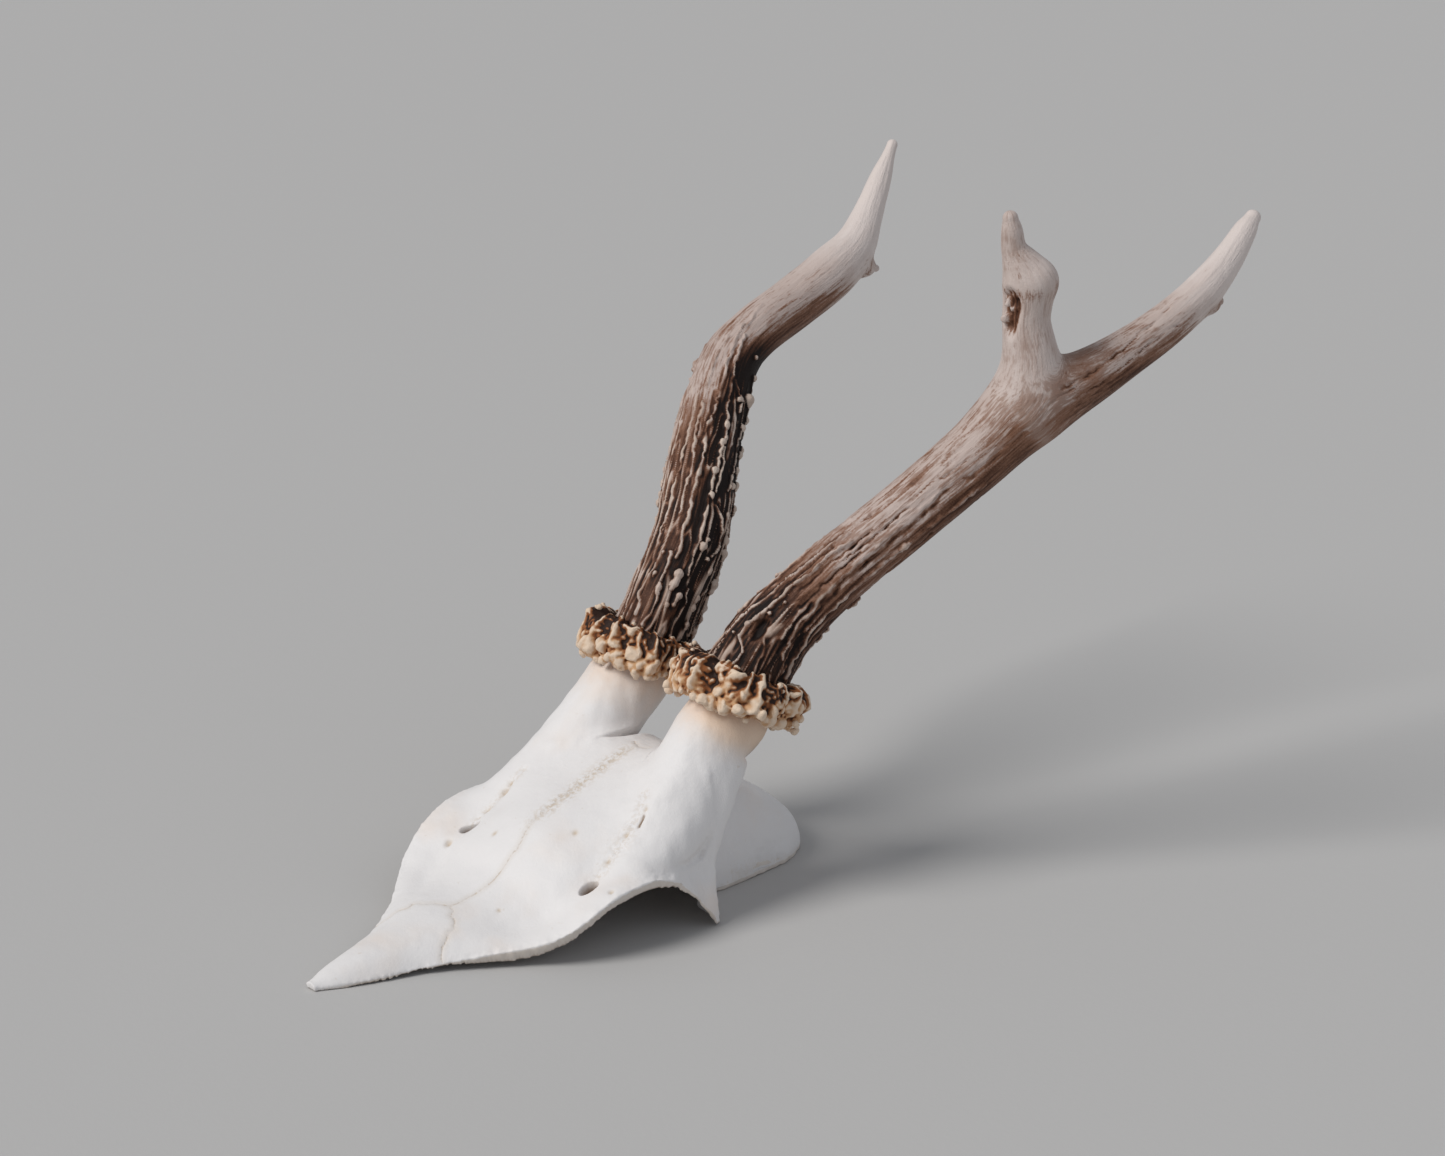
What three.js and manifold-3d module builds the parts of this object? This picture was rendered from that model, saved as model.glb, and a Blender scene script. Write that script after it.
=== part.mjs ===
// Skull cap and antlers of a roebuck (Capreolus capreolus), life size.
// Millimetres, +Z up, the nose end towards -Y and the animal's left towards +X.
// The origin lies on the floor under the middle of the forehead, level with the
// tips of the two processes behind the eyes.
import * as THREE from 'three';
import { mergeVertices } from 'three/addons/utils/BufferGeometryUtils.js';
import Module from 'manifold-3d';

// ---------------------------------------------------------------- driving dimensions
const NOSE_TIP_Y = -113;          // front end of the nasal bones
const CAP_BACK_Y = 65;            // back end of the braincase roof
const CUT = 0.35;                 // width of the thin parting cuts
const LEAN = 0.05;                // the cap leans to its left: drop per mm of X
const LEAN_FADE = [-20, 18];      // Y range over which that lean dies out
const RIGHT_FLARE = { y: -56, reach: 9, out: 2.6 };  // the right cheek edge stands further out
const RIM_THICKNESS = { nose: 1.5, cheek: 3, socket: 1.8 };  // bone at the side edges
const ORBIT_WALL = 5;             // bone over the eye sockets, away from the rim
const CORE_HALF = 21;             // half breadth of the solid middle between the sockets
const CORE_TAPER = 0.62;          // the same in the narrow front, as a share of the half breadth
const CORE_BLEND = 4;             // breadth over which the underside turns up
const SOCKET_BACK = [-4.5, -0.5]; // Y range of the back wall of the eye sockets
const SUTURE_TIP_Y = -63;         // nasal suture on the midline
const SUTURE_SIDE_Y = -82;        // the same at the side edges
const SUTURE_SIDE_X = 15.5;
const CORONAL_Y = 15;             // suture between forehead and braincase roof

const BURR_TILT = Math.atan2(0.427, 0.904);   // both burrs tip backwards by 25 degrees
const SOCKET_FLOOR = -20;         // the eye socket hollows reach down past the floor
const SUTURE_REACH = 60;          // half breadth of the blade that cuts the nasal suture
const SUTURE_BLADE = { low: -20, height: 80 };

// Pedicles, on the left side: centre points and radii of the foot, then the neck and the head.
const PEDICLE_FOOT = [
  { at: [34.5, -22, 20], r: 4.5 },
  { at: [31.8, -12, 23.5], r: 8.5 },
  { at: [27.4, -3, 29], r: 11.5 },
  { at: [24, 5.6, 37.4], r: 12.3 },
];
const PEDICLE_NECK = { share: 0.98, y: 14.6, z: 48.6, r: 11.7 };  // share of its burr's X
const PEDICLE_HEAD = { y: 2.2, z: 4, r: 12.1 };                   // from the underside of its burr
// The ridge from the back of a pedicle down to the tip of the process behind the eye.
const PROCESS_RIDGE = [
  { at: [30.6, 15, 43.1], r: 4.0 },
  { at: [32.8, 9.5, 34.2], r: 4.2 },
  { at: [34, 3.8, 23.4], r: 3.8 },
  { at: [34.8, 1.5, 17.3], r: 3.4 },
  { at: [37.3, 0.2, 11.1], r: 2.6 },
  { at: [39.9, -0.6, 5.8], r: 1.9 },
];
const RIDGE_SIDES = 8;
// The drum that parts a pedicle from the forehead.
const DRUM = { below: 17, forward: 1.5, radius: 17, height: 40, sides: 24, tilt: 1.35 };

// Stations along the cap: half breadth, height on the midline, height of the side edge.
const CAP_STATIONS = [
  { y: NOSE_TIP_Y, half: 2.2, crest: 2.4, edge: 1.4 },
  { y: -106, half: 5.2, crest: 4.2, edge: 1.6 },
  { y: -95, half: 9.0, crest: 6.6, edge: 2.0 },
  { y: -82, half: 13.8, crest: 8.8, edge: 3.2 },
  { y: -70, half: 20.8, crest: 10.6, edge: 5.4 },
  { y: -58, half: 29.4, crest: 12.4, edge: 8.2 },
  { y: -50, half: 36.0, crest: 15.4, edge: 12.6 },
  { y: -42, half: 39.8, crest: 22.2, edge: 18.0 },
  { y: -34, half: 41.0, crest: 28.2, edge: 21.4 },
  { y: -24, half: 41.6, crest: 32.6, edge: 22.4 },
  { y: -15, half: 42.2, crest: 35.4, edge: 19.8 },
  { y: -8, half: 42.8, crest: 38.0, edge: 13.4 },
  { y: -3, half: 43.4, crest: 39.6, edge: 6.4 },
  { y: 1, half: 42.6, crest: 40.8, edge: 1.6 },
  { y: 6, half: 31.0, crest: 41.4, edge: 1.5 },
  { y: 12, half: 25.0, crest: 41.0, edge: 1.5 },
  { y: 22, half: 24.4, crest: 37.6, edge: 1.5 },
  { y: 34, half: 23.6, crest: 30.6, edge: 1.5 },
  { y: 45, half: 22.2, crest: 23.2, edge: 1.5 },
  { y: 54, half: 18.6, crest: 16.6, edge: 1.5 },
  { y: 60, half: 14.2, crest: 11.2, edge: 1.4 },
  { y: CAP_BACK_Y, half: 7.0, crest: 4.0, edge: 1.2 },
];

// Antlers: centre points and radii from the burr to the tip.
const LEFT_BURR = { centre: [23.5, 24.3, 60.8], radius: 21.5, height: 12.5, lobes: 9, phase: 0.6 };
const RIGHT_BURR = { centre: [-21, 25.3, 62.2], radius: 19.6, height: 12.5, lobes: 8, phase: 2.1 };
// Section of a burr: reach as a share of its radius, height as a share of its own.
const BURR_PROFILE = [
  [0, -0.5], [0.62, -0.5], [0.84, -0.47], [0.97, -0.3], [1.0, -0.02],
  [0.95, 0.26], [0.86, 0.46], [0.7, 0.5], [0, 0.5],
];
const BURR_SIDES = 36;
const BURR_LUMP = 0.028;          // height of its lumps as a share of the radius
const BURR_WAVE = 0.7;            // rise and fall of its rim

const LEFT_BEAM = [
  { at: [24.5, 26.4, 64.5], r: 12.4 },
  { at: [28.8, 33.8, 77.8], r: 11.3 },
  { at: [36.8, 47.4, 93.1], r: 10.2 },
  { at: [48.6, 68.4, 111.8], r: 10.0 },
  { at: [58.0, 87.0, 128.0], r: 10.4 },
  { at: [64.8, 102.0, 141.5], r: 11.2 },
  { at: [71.0, 119.2, 148.4], r: 8.5 },
  { at: [74.8, 132.6, 154.5], r: 7.1 },
  { at: [77.7, 147.6, 161.6], r: 6.4 },
  { at: [78.8, 161.2, 169.0], r: 5.9 },
  { at: [78.6, 173.4, 177.6], r: 4.7 },
  { at: [77.6, 182.2, 185.0], r: 3.6 },
  { at: [76.9, 188.1, 190.0], r: 1.6 },
];
const LEFT_FRONT_TINE = [
  { at: [64.8, 101.0, 142.0], r: 9.6 },
  { at: [65.2, 101.8, 156.0], r: 8.2 },
  { at: [64.4, 101.0, 168.0], r: 7.2 },
  { at: [64.9, 101.6, 176.6], r: 7.9 },
  { at: [63.9, 99.9, 183.0], r: 6.5 },
  { at: [62.7, 97.5, 188.8], r: 4.3 },
  { at: [62.1, 95.9, 194.2], r: 3.1 },
  { at: [61.8, 94.9, 200.0], r: 1.4 },
];
const LEFT_REAR_NUB = [
  { at: [78.6, 159.0, 166.8], r: 4.4 },
  { at: [79.4, 164.5, 165.6], r: 3.4 },
  { at: [80.0, 168.6, 165.8], r: 1.4 },
];
const RIGHT_BEAM = [
  { at: [-19.6, 28.4, 66.0], r: 11.7 },
  { at: [-18.7, 34.8, 78.4], r: 11.3 },
  { at: [-24.0, 49.0, 94.0], r: 11.2 },
  { at: [-36.0, 63.8, 108.5], r: 10.8 },
  { at: [-48.6, 80.6, 122.4], r: 10.2 },
  { at: [-55.0, 94.0, 136.4], r: 9.2 },
  { at: [-55.7, 104.2, 142.8], r: 8.5 },
  { at: [-56.9, 122.2, 149.6], r: 8.5 },
  { at: [-56.6, 137.6, 156.8], r: 8.6 },
  { at: [-57.6, 150.0, 164.0], r: 7.0 },
  { at: [-61.0, 159.0, 172.0], r: 5.2 },
  { at: [-64.3, 168.4, 183.2], r: 3.7 },
  { at: [-66.7, 177.0, 195.2], r: 1.1 },
];
const RIGHT_REAR_NUB = [
  { at: [-57.0, 146.0, 160.4], r: 5.6 },
  { at: [-55.0, 152.0, 158.0], r: 3.8 },
  { at: [-53.6, 156.4, 156.8], r: 1.2 },
];
const LEFT_BEAM_SPLIT = 0.355;    // share of the beam's length below the parting cut
const LEFT_FORK_SPLIT = 0.60;
const RIGHT_BEAM_SPLIT = 0.50;
const RIGHT_TIP_SPLIT = 0.80;
const FRONT_TINE_SPLIT_Z = 157;

const BEAM_SIDES = 14;
const TINE_SIDES = 12;
const STEP = 7;                   // length of one ring of a beam, in mm
const CAP_COLUMNS = 18;
const CAP_ROW = 3.9;              // spacing of the rows along the cap
const CAP_ROW_FINE = 1.7;         // the same near the processes
const FINE_ROWS = [-7, 7];
const BIG = 600;                  // side of the blocks that stand for half spaces

// ---------------------------------------------------------------- helpers
const wasm = await Module();
wasm.setup();

const clamp01 = (t) => Math.min(1, Math.max(0, t));
const smooth = (a, b, t) => {
  const u = clamp01((t - a) / (b - a));
  return u * u * (3 - 2 * u);
};

// Value of one field of a list of stations at y, on a smooth curve without overshoot.
function stationValue(stations, field, y) {
  const last = stations.length - 1;
  if (y <= stations[0].y) return stations[0][field];
  if (y >= stations[last].y) return stations[last][field];
  const i = stations.findIndex((s) => s.y > y) - 1;
  const slope = (k) => {
    if (k < 1 || k >= last) return 0;
    const before = (stations[k][field] - stations[k - 1][field]) / (stations[k].y - stations[k - 1].y);
    const after = (stations[k + 1][field] - stations[k][field]) / (stations[k + 1].y - stations[k].y);
    return before * after <= 0 ? 0 : (2 * before * after) / (before + after);
  };
  const span = stations[i + 1].y - stations[i].y;
  const t = (y - stations[i].y) / span;
  const [a, b] = [stations[i][field], stations[i + 1][field]];
  const [ma, mb] = [slope(i) * span, slope(i + 1) * span];
  const t2 = t * t;
  const t3 = t2 * t;
  return (2 * t3 - 3 * t2 + 1) * a + (t3 - 2 * t2 + t) * ma + (3 * t2 - 2 * t3) * b + (t3 - t2) * mb;
}

function toSolid(geometry) {
  const bare = geometry.clone();
  bare.deleteAttribute('normal');
  bare.deleteAttribute('uv');
  const merged = mergeVertices(bare, 1e-4);
  const vertProperties = new Float32Array(merged.attributes.position.array);
  const triVerts = new Uint32Array(merged.index.array);
  return new wasm.Manifold(new wasm.Mesh({ numProp: 3, vertProperties, triVerts }));
}

function toGeometry(solid) {
  const mesh = solid.getMesh();
  const geometry = new THREE.BufferGeometry();
  const positions = new Float32Array(mesh.numVert * 3);
  for (let i = 0; i < mesh.numVert; i++) {
    for (let k = 0; k < 3; k++) positions[i * 3 + k] = mesh.vertProperties[i * mesh.numProp + k];
  }
  geometry.setAttribute('position', new THREE.BufferAttribute(positions, 3));
  geometry.setIndex(new THREE.BufferAttribute(new Uint32Array(mesh.triVerts), 1));
  geometry.computeVertexNormals();
  return geometry;
}

// The half space beyond a plane, as a big block.
function halfSpace(point, normal) {
  const block = new THREE.BoxGeometry(BIG, BIG, BIG);
  block.translate(0, 0, BIG / 2);
  block.applyQuaternion(new THREE.Quaternion().setFromUnitVectors(new THREE.Vector3(0, 0, 1), normal));
  block.translate(point.x, point.y, point.z);
  return toSolid(block);
}

// Parts a solid by a thin cut: [the piece the normal points away from, the piece beyond].
function partAt(solid, point, normal) {
  const ahead = point.clone().addScaledVector(normal, CUT / 2);
  const behind = point.clone().addScaledVector(normal, -CUT / 2);
  const near = solid.intersect(halfSpace(behind, normal.clone().negate()));
  return [near, solid.intersect(halfSpace(ahead, normal))];
}

// A round bar along a list of centre points with radii, closed at both ends.
function bar(points, sides) {
  const centres = points.map((p) => new THREE.Vector3(...p.at));
  const curve = new THREE.CatmullRomCurve3(centres, false, 'centripetal');
  const rows = Math.max(4, Math.round(curve.getLength() / STEP));
  const frames = curve.computeFrenetFrames(rows, false);
  const shape = new THREE.CylinderGeometry(1, 1, 1, sides, rows, false);
  const position = shape.attributes.position;
  const spanCount = points.length - 1;
  for (let i = 0; i < position.count; i++) {
    const row = Math.round((position.getY(i) + 0.5) * rows);
    const u = row / rows;
    const t = curve.getUtoTmapping(u);
    const k = Math.min(spanCount - 1, Math.floor(t * spanCount));
    const radius = THREE.MathUtils.lerp(points[k].r, points[k + 1].r, smooth(0, 1, t * spanCount - k));
    const place = curve.getPointAt(u);
    place.addScaledVector(frames.normals[row], position.getZ(i) * radius);
    place.addScaledVector(frames.binormals[row], position.getX(i) * radius);
    position.setXYZ(i, place.x, place.y, place.z);
  }
  return { solid: toSolid(shape), curve };
}

// ---------------------------------------------------------------- skull cap
const lean = (x, y) => -LEAN * x * (1 - smooth(...LEAN_FADE, y));

// Half breadth of the cap on the side that x points to.
function halfBreadth(x, y) {
  const flare = x < 0 ? RIGHT_FLARE.out * Math.exp(-(((y - RIGHT_FLARE.y) / RIGHT_FLARE.reach) ** 2)) : 0;
  return stationValue(CAP_STATIONS, 'half', y) + flare;
}

// Height of the outer surface. The forehead has a dome in the middle, a shallow groove
// beside it and a raised socket rim; behind the sockets the roof is a plain vault.
function topHeight(x, y) {
  const half = halfBreadth(x, y);
  const crest = stationValue(CAP_STATIONS, 'crest', y);
  const edge = stationValue(CAP_STATIONS, 'edge', y);
  const t = Math.min(1, Math.abs(x) / half);
  const nasal = 1 - Math.pow(t, 2.4);
  const dome = 1 - smooth(0.12, 0.78, t);
  const groove = -1.6 * Math.exp(-(((t - 0.66) / 0.14) ** 2));
  const slope = 1 - Math.pow(t, 2.9);
  const vault = Math.sqrt(Math.max(0, 1 - t ** 2.6));
  const forehead = smooth(-70, -46, y) * (1 - smooth(-38, -14, y));
  const braincase = smooth(6, 20, y);
  const front = 1 - smooth(-70, -46, y);
  const middle = 1 - forehead - braincase - front;
  const share = nasal * front + dome * forehead + slope * middle + vault * braincase;
  return Math.max(0.8, edge + (crest - edge) * share + groove * forehead + lean(x, y));
}

// Height of the underside: flat in the middle, raised under the rims and the sockets.
function baseHeight(x, y) {
  const half = halfBreadth(x, y);
  const core = Math.min(CORE_HALF, half * CORE_TAPER);
  const cheek = THREE.MathUtils.lerp(RIM_THICKNESS.nose, RIM_THICKNESS.cheek, smooth(-80, -60, y));
  const rim = THREE.MathUtils.lerp(cheek, RIM_THICKNESS.socket, smooth(-50, -40, y));
  const inner = THREE.MathUtils.lerp(cheek, ORBIT_WALL, smooth(-58, -44, y));
  const wall = THREE.MathUtils.lerp(inner, rim, smooth(0.72, 1, Math.abs(x) / half));
  const inside = 1 - smooth(core, core + CORE_BLEND, Math.abs(x));
  const behind = smooth(...SOCKET_BACK, y);
  const front = 1 - smooth(-104, -96, y);
  const rise = 1 - Math.max(inside, behind, front);
  return Math.max(0, topHeight(x, y) - wall) * rise;
}

function capRows() {
  const rows = [];
  let y = NOSE_TIP_Y;
  while (y < CAP_BACK_Y - CAP_ROW_FINE) {
    rows.push(y);
    y += y > FINE_ROWS[0] && y < FINE_ROWS[1] ? CAP_ROW_FINE : CAP_ROW;
  }
  rows.push(CAP_BACK_Y);
  return rows;
}

// A closed slab over the cap's plan between two height functions.
function slab(low, high, rows) {
  const last = rows.length - 1;
  const shape = new THREE.BoxGeometry(2, 1, 1, CAP_COLUMNS, last, 1);
  const position = shape.attributes.position;
  for (let i = 0; i < position.count; i++) {
    const y = rows[Math.round((position.getY(i) + 0.5) * last)];
    const across = position.getX(i);
    const x = across * halfBreadth(across, y);
    const z = position.getZ(i) > 0 ? high(x, y) : low(x, y);
    position.setXYZ(i, x, y, z);
  }
  return toSolid(shape);
}

// The suture between nose and forehead: a chevron that points backwards.
function nasalSuture() {
  const rise = (SUTURE_TIP_Y - SUTURE_SIDE_Y) / SUTURE_SIDE_X;
  const line = (gap) => [
    [-SUTURE_REACH, SUTURE_TIP_Y - rise * SUTURE_REACH + gap],
    [0, SUTURE_TIP_Y + gap],
    [SUTURE_REACH, SUTURE_TIP_Y - rise * SUTURE_REACH + gap],
  ];
  const gap = (CUT / 2) * Math.hypot(1, rise);
  const outline = [...line(gap), ...line(-gap).reverse()];
  const shape = new THREE.Shape(outline.map(([x, y]) => new THREE.Vector2(x, y)));
  const cut = { depth: SUTURE_BLADE.height, bevelEnabled: false, steps: 1 };
  const blade = new THREE.ExtrudeGeometry(shape, cut);
  blade.translate(0, 0, SUTURE_BLADE.low);
  return toSolid(blade);
}

const burrNormal = new THREE.Vector3(0, Math.sin(BURR_TILT), Math.cos(BURR_TILT));
const beyondBurr = (burr, gap) => new THREE.Vector3(...burr.centre).addScaledVector(burrNormal, gap);

const toSide = (side, extra) => ({ at: [x, y, z], r }) => ({ at: [side * x, y, z], r: r + extra });

// A bony stalk from the forehead up to the underside of its burr, with the ridge down its back.
function pedicle(burr, extra) {
  const side = Math.sign(burr.centre[0]);
  const top = beyondBurr(burr, -burr.height / 2 - CUT);
  const neckX = Math.abs(burr.centre[0]) * PEDICLE_NECK.share;
  const points = [
    ...PEDICLE_FOOT,
    { at: [neckX, PEDICLE_NECK.y, PEDICLE_NECK.z], r: PEDICLE_NECK.r },
    { at: [Math.abs(top.x), top.y + PEDICLE_HEAD.y, top.z + PEDICLE_HEAD.z], r: PEDICLE_HEAD.r },
  ];
  const stalk = bar(points.map(toSide(side, extra)), BEAM_SIDES).solid;
  const ridge = bar(PROCESS_RIDGE.map(toSide(side, extra)), RIDGE_SIDES).solid;
  return stalk.add(ridge).intersect(halfSpace(top, burrNormal.clone().negate()));
}

// The drum round a pedicle, used to part it from the forehead.
function pedicleDrum(burr, extra) {
  const radius = DRUM.radius + extra;
  const drum = new THREE.CylinderGeometry(radius, radius, DRUM.height, DRUM.sides);
  drum.rotateX(Math.PI / 2);
  drum.translate(0, 0, DRUM.height / 2 - extra);
  drum.rotateX(-BURR_TILT * DRUM.tilt);
  const base = beyondBurr(burr, -DRUM.below);
  drum.translate(base.x, base.y - DRUM.forward, base.z);
  return toSolid(drum);
}

const largest = (solid) => solid.decompose().sort((a, b) => b.volume() - a.volume())[0];

function buildCap() {
  const burrs = [LEFT_BURR, RIGHT_BURR];
  const rows = capRows();
  const cap = slab(baseHeight, topHeight, rows);
  const socketRows = rows.filter((y) => y < SOCKET_BACK[1]);
  const sockets = slab(() => SOCKET_FLOOR, baseHeight, socketRows);
  const backwards = new THREE.Vector3(0, 1, 0);
  const [front, behind] = partAt(cap, new THREE.Vector3(0, CORONAL_Y, 0), backwards);
  let forehead = front.subtract(nasalSuture());
  let braincase = behind;
  for (const burr of burrs) {
    forehead = forehead.add(pedicle(burr, 0).subtract(sockets));
    braincase = braincase.subtract(pedicle(burr, CUT));
  }
  const pedicles = burrs.map((burr) => largest(forehead.intersect(pedicleDrum(burr, 0))));
  for (const burr of burrs) forehead = forehead.subtract(pedicleDrum(burr, CUT));
  const pieces = forehead.decompose().sort((a, b) => a.boundingBox().min[1] - b.boundingBox().min[1]);
  return { nasal: pieces[0], frontal: largest(forehead), braincase: largest(braincase), pedicles };
}

// ---------------------------------------------------------------- burrs
// A thick disc with a lumpy rim, widest a little below its middle.
function burrSolid(burr) {
  const { lobes, phase } = burr;
  const points = BURR_PROFILE.map(([r, h]) => new THREE.Vector2(r * burr.radius, h * burr.height));
  const shape = new THREE.LatheGeometry(points, BURR_SIDES);
  const position = shape.attributes.position;
  for (let i = 0; i < position.count; i++) {
    const [x, y, z] = [position.getX(i), position.getY(i), position.getZ(i)];
    const reach = Math.hypot(x, z) / burr.radius;
    const turn = Math.atan2(z, x);
    const lump = Math.sin(lobes * turn + phase) + 0.7 * Math.sin((lobes + 4) * turn + 2 * phase);
    const grow = 1 + BURR_LUMP * lump * smooth(0.6, 1, reach);
    const wave = BURR_WAVE * Math.sin((lobes - 3) * turn + phase) * smooth(0.75, 1, reach);
    position.setXYZ(i, x * grow, y + wave, z * grow);
  }
  shape.rotateX(Math.PI / 2 - BURR_TILT);
  shape.translate(...burr.centre);
  return toSolid(shape);
}

// ---------------------------------------------------------------- antlers
const aboveBurr = (solid, burr) =>
  solid.intersect(halfSpace(beyondBurr(burr, burr.height / 2 + CUT), burrNormal));

function partAlong(solid, curve, share) {
  return partAt(solid, curve.getPointAt(share), curve.getTangentAt(share));
}

function leftAntler() {
  const beam = bar(LEFT_BEAM, BEAM_SIDES);
  const tine = bar(LEFT_FRONT_TINE, TINE_SIDES);
  const nub = bar(LEFT_REAR_NUB, TINE_SIDES);
  const split = new THREE.Vector3(0, 0, FRONT_TINE_SPLIT_Z);
  const [tineRoot, tineTip] = partAt(tine.solid, split, new THREE.Vector3(0, 0, 1));
  const whole = aboveBurr(beam.solid.add(tineRoot).add(nub.solid), LEFT_BURR);
  const [below, rear] = partAlong(whole, beam.curve, LEFT_FORK_SPLIT);
  const [lower, fork] = partAlong(below, beam.curve, LEFT_BEAM_SPLIT);
  return { lower, fork, tineTip, rear };
}

function rightAntler() {
  const beam = bar(RIGHT_BEAM, BEAM_SIDES);
  const nub = bar(RIGHT_REAR_NUB, TINE_SIDES);
  const whole = aboveBurr(beam.solid.add(nub.solid), RIGHT_BURR);
  const [below, tip] = partAlong(whole, beam.curve, RIGHT_TIP_SPLIT);
  const [lower, upper] = partAlong(below, beam.curve, RIGHT_BEAM_SPLIT);
  return { lower, upper, tip };
}

// ---------------------------------------------------------------- materials and model
const FINISHES = {
  bone: { color: 0xe9e6e2, roughness: 0.62 },
  burr: { color: 0xb89a76, roughness: 0.7 },
  darkBeam: { color: 0x6b5546, roughness: 0.66 },
  paleBeam: { color: 0xb3a393, roughness: 0.6 },
  tip: { color: 0xd8cdbd, roughness: 0.5 },
};
const finish = (name) => new THREE.MeshStandardMaterial({ ...FINISHES[name], metalness: 0 });

const model = new THREE.Group();
function addNode(name, solid, finishName) {
  const mesh = new THREE.Mesh(toGeometry(solid), finish(finishName));
  mesh.name = name;
  model.add(mesh);
}

const cap = buildCap();
addNode('nasal_bones', cap.nasal, 'bone');
addNode('frontal_bone', cap.frontal, 'bone');
addNode('braincase_roof', cap.braincase, 'bone');
addNode('pedicle_left', cap.pedicles[0], 'bone');
addNode('pedicle_right', cap.pedicles[1], 'bone');
addNode('burr_left', burrSolid(LEFT_BURR), 'burr');
addNode('burr_right', burrSolid(RIGHT_BURR), 'burr');

const left = leftAntler();
addNode('antler_left_lower_beam', left.lower, 'darkBeam');
addNode('antler_left_fork', left.fork, 'paleBeam');
addNode('antler_left_front_tine', left.tineTip, 'tip');
addNode('antler_left_rear_tine', left.rear, 'paleBeam');

const right = rightAntler();
addNode('antler_right_lower_beam', right.lower, 'darkBeam');
addNode('antler_right_upper_beam', right.upper, 'paleBeam');
addNode('antler_right_tip', right.tip, 'tip');

export default model;
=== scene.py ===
"""Skull cap and antlers of a roebuck, as a still display piece.

Metres, +Z up, the nose end towards -Y and the animal's left towards +X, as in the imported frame.
"""
import math

import bpy
import numpy as np
from bpy.props import FloatProperty, FloatVectorProperty, IntProperty, PointerProperty
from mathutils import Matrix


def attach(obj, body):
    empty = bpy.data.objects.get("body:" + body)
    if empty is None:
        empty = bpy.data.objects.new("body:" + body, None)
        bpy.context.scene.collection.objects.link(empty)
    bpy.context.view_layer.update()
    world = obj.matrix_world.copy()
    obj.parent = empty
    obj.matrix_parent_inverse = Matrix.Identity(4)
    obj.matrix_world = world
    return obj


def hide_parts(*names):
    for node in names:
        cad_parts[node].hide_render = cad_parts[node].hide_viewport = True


bl_info = {
    "name": "Roebuck skull cap",
    "version": (1, 0, 0),
    "blender": (4, 5, 0),
    "location": "3D View > Sidebar > Roebuck",
    "description": "Models a roebuck's skull cap, its burrs and its antlers",
    "category": "Object",
}

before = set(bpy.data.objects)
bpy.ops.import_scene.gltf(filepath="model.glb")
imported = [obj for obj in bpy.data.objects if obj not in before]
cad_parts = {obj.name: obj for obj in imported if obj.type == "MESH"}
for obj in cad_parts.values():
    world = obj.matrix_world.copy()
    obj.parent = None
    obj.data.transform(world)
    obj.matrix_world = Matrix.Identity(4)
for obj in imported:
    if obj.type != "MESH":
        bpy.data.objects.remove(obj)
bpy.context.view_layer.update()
MM = 0.001

# ------------------------------------------------------------------ the skull cap's sizes
NOSE_TIP_Y = -0.113
CAP_BACK_Y = 0.065
LEAN = 0.05                        # the cap leans to its left: drop for each metre of X
LEAN_FADE = (-0.020, 0.018)        # Y range over which that lean dies out
FLARE_Y, FLARE_REACH, FLARE_OUT = -0.056, 0.009, 0.0026   # the right cheek edge stands out

# Y ranges over which one form of the cap's outer surface gives way to the next.
NOSE_END, FOREHEAD_END, BRAINCASE_START = (-0.070, -0.046), (-0.038, -0.014), (0.006, 0.020)
DOME_SIDES = (0.12, 0.78)          # share of the half breadth over which the forehead drops
NOSE_POWER, MIDDLE_POWER, VAULT_POWER = 2.4, 2.9, 2.6   # how square each cross section is
EYE_GROOVE = (-0.0016, 0.66, 0.14)   # height, place and width of the groove inside the rims

# Thickness of the bone, and the Y ranges over which one thickness gives way to the next.
NOSE_RIM, CHEEK_RIM, SOCKET_RIM, SOCKET_WALL = 0.0015, 0.0042, 0.0027, 0.0048
CHEEK_START, SOCKET_START, WALL_START = (-0.080, -0.060), (-0.050, -0.040), (-0.058, -0.044)
RIM_SIDES = (0.72, 1.0)            # share of the half breadth over which the wall thins
SHELL_START = (-0.104, -0.096)     # in front of it the nose is solid
STEEP_START = (0.002, 0.010)       # behind it a steep wall is measured across, not upright
STEEPEST = 30
# A solid place behind each process, too thin for a shell: Y start, Y end and X start.
SOLID_PLACE = ((0.0010, 0.0024), (0.008, 0.010), (0.026, 0.029))

# Stations along the cap, in millimetres: Y, half breadth, height on the midline, height of the edge.
CAP_STATIONS = MM * np.array((
    (-113, 2.2, 2.4, 1.4), (-106, 5.2, 4.2, 1.6), (-95, 9, 6.6, 2), (-82, 13.8, 8.8, 3.2),
    (-70, 20.8, 10.6, 5.4), (-58, 29.4, 12.4, 8.2), (-50, 36, 15.4, 12.6), (-42, 39.8, 22.2, 18),
    (-34, 41, 28.2, 21.4), (-24, 41.6, 32.6, 22.4), (-15, 42.2, 35.4, 19.8), (-8, 42.8, 38, 13.4),
    (-3, 43.4, 39.6, 6.4), (1, 42.6, 40.8, 1.6), (6, 31, 41.4, 1.5), (12, 25, 41, 1.5),
    (22, 24.4, 37.6, 1.5), (34, 23.6, 30.6, 1.5), (45, 22.2, 23.2, 1.5), (54, 18.6, 16.6, 1.5),
    (60, 14.2, 11.2, 1.4), (65, 7, 4, 1.2),
))
HALF, CREST, EDGE = 1, 2, 3        # columns of the table above

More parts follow.
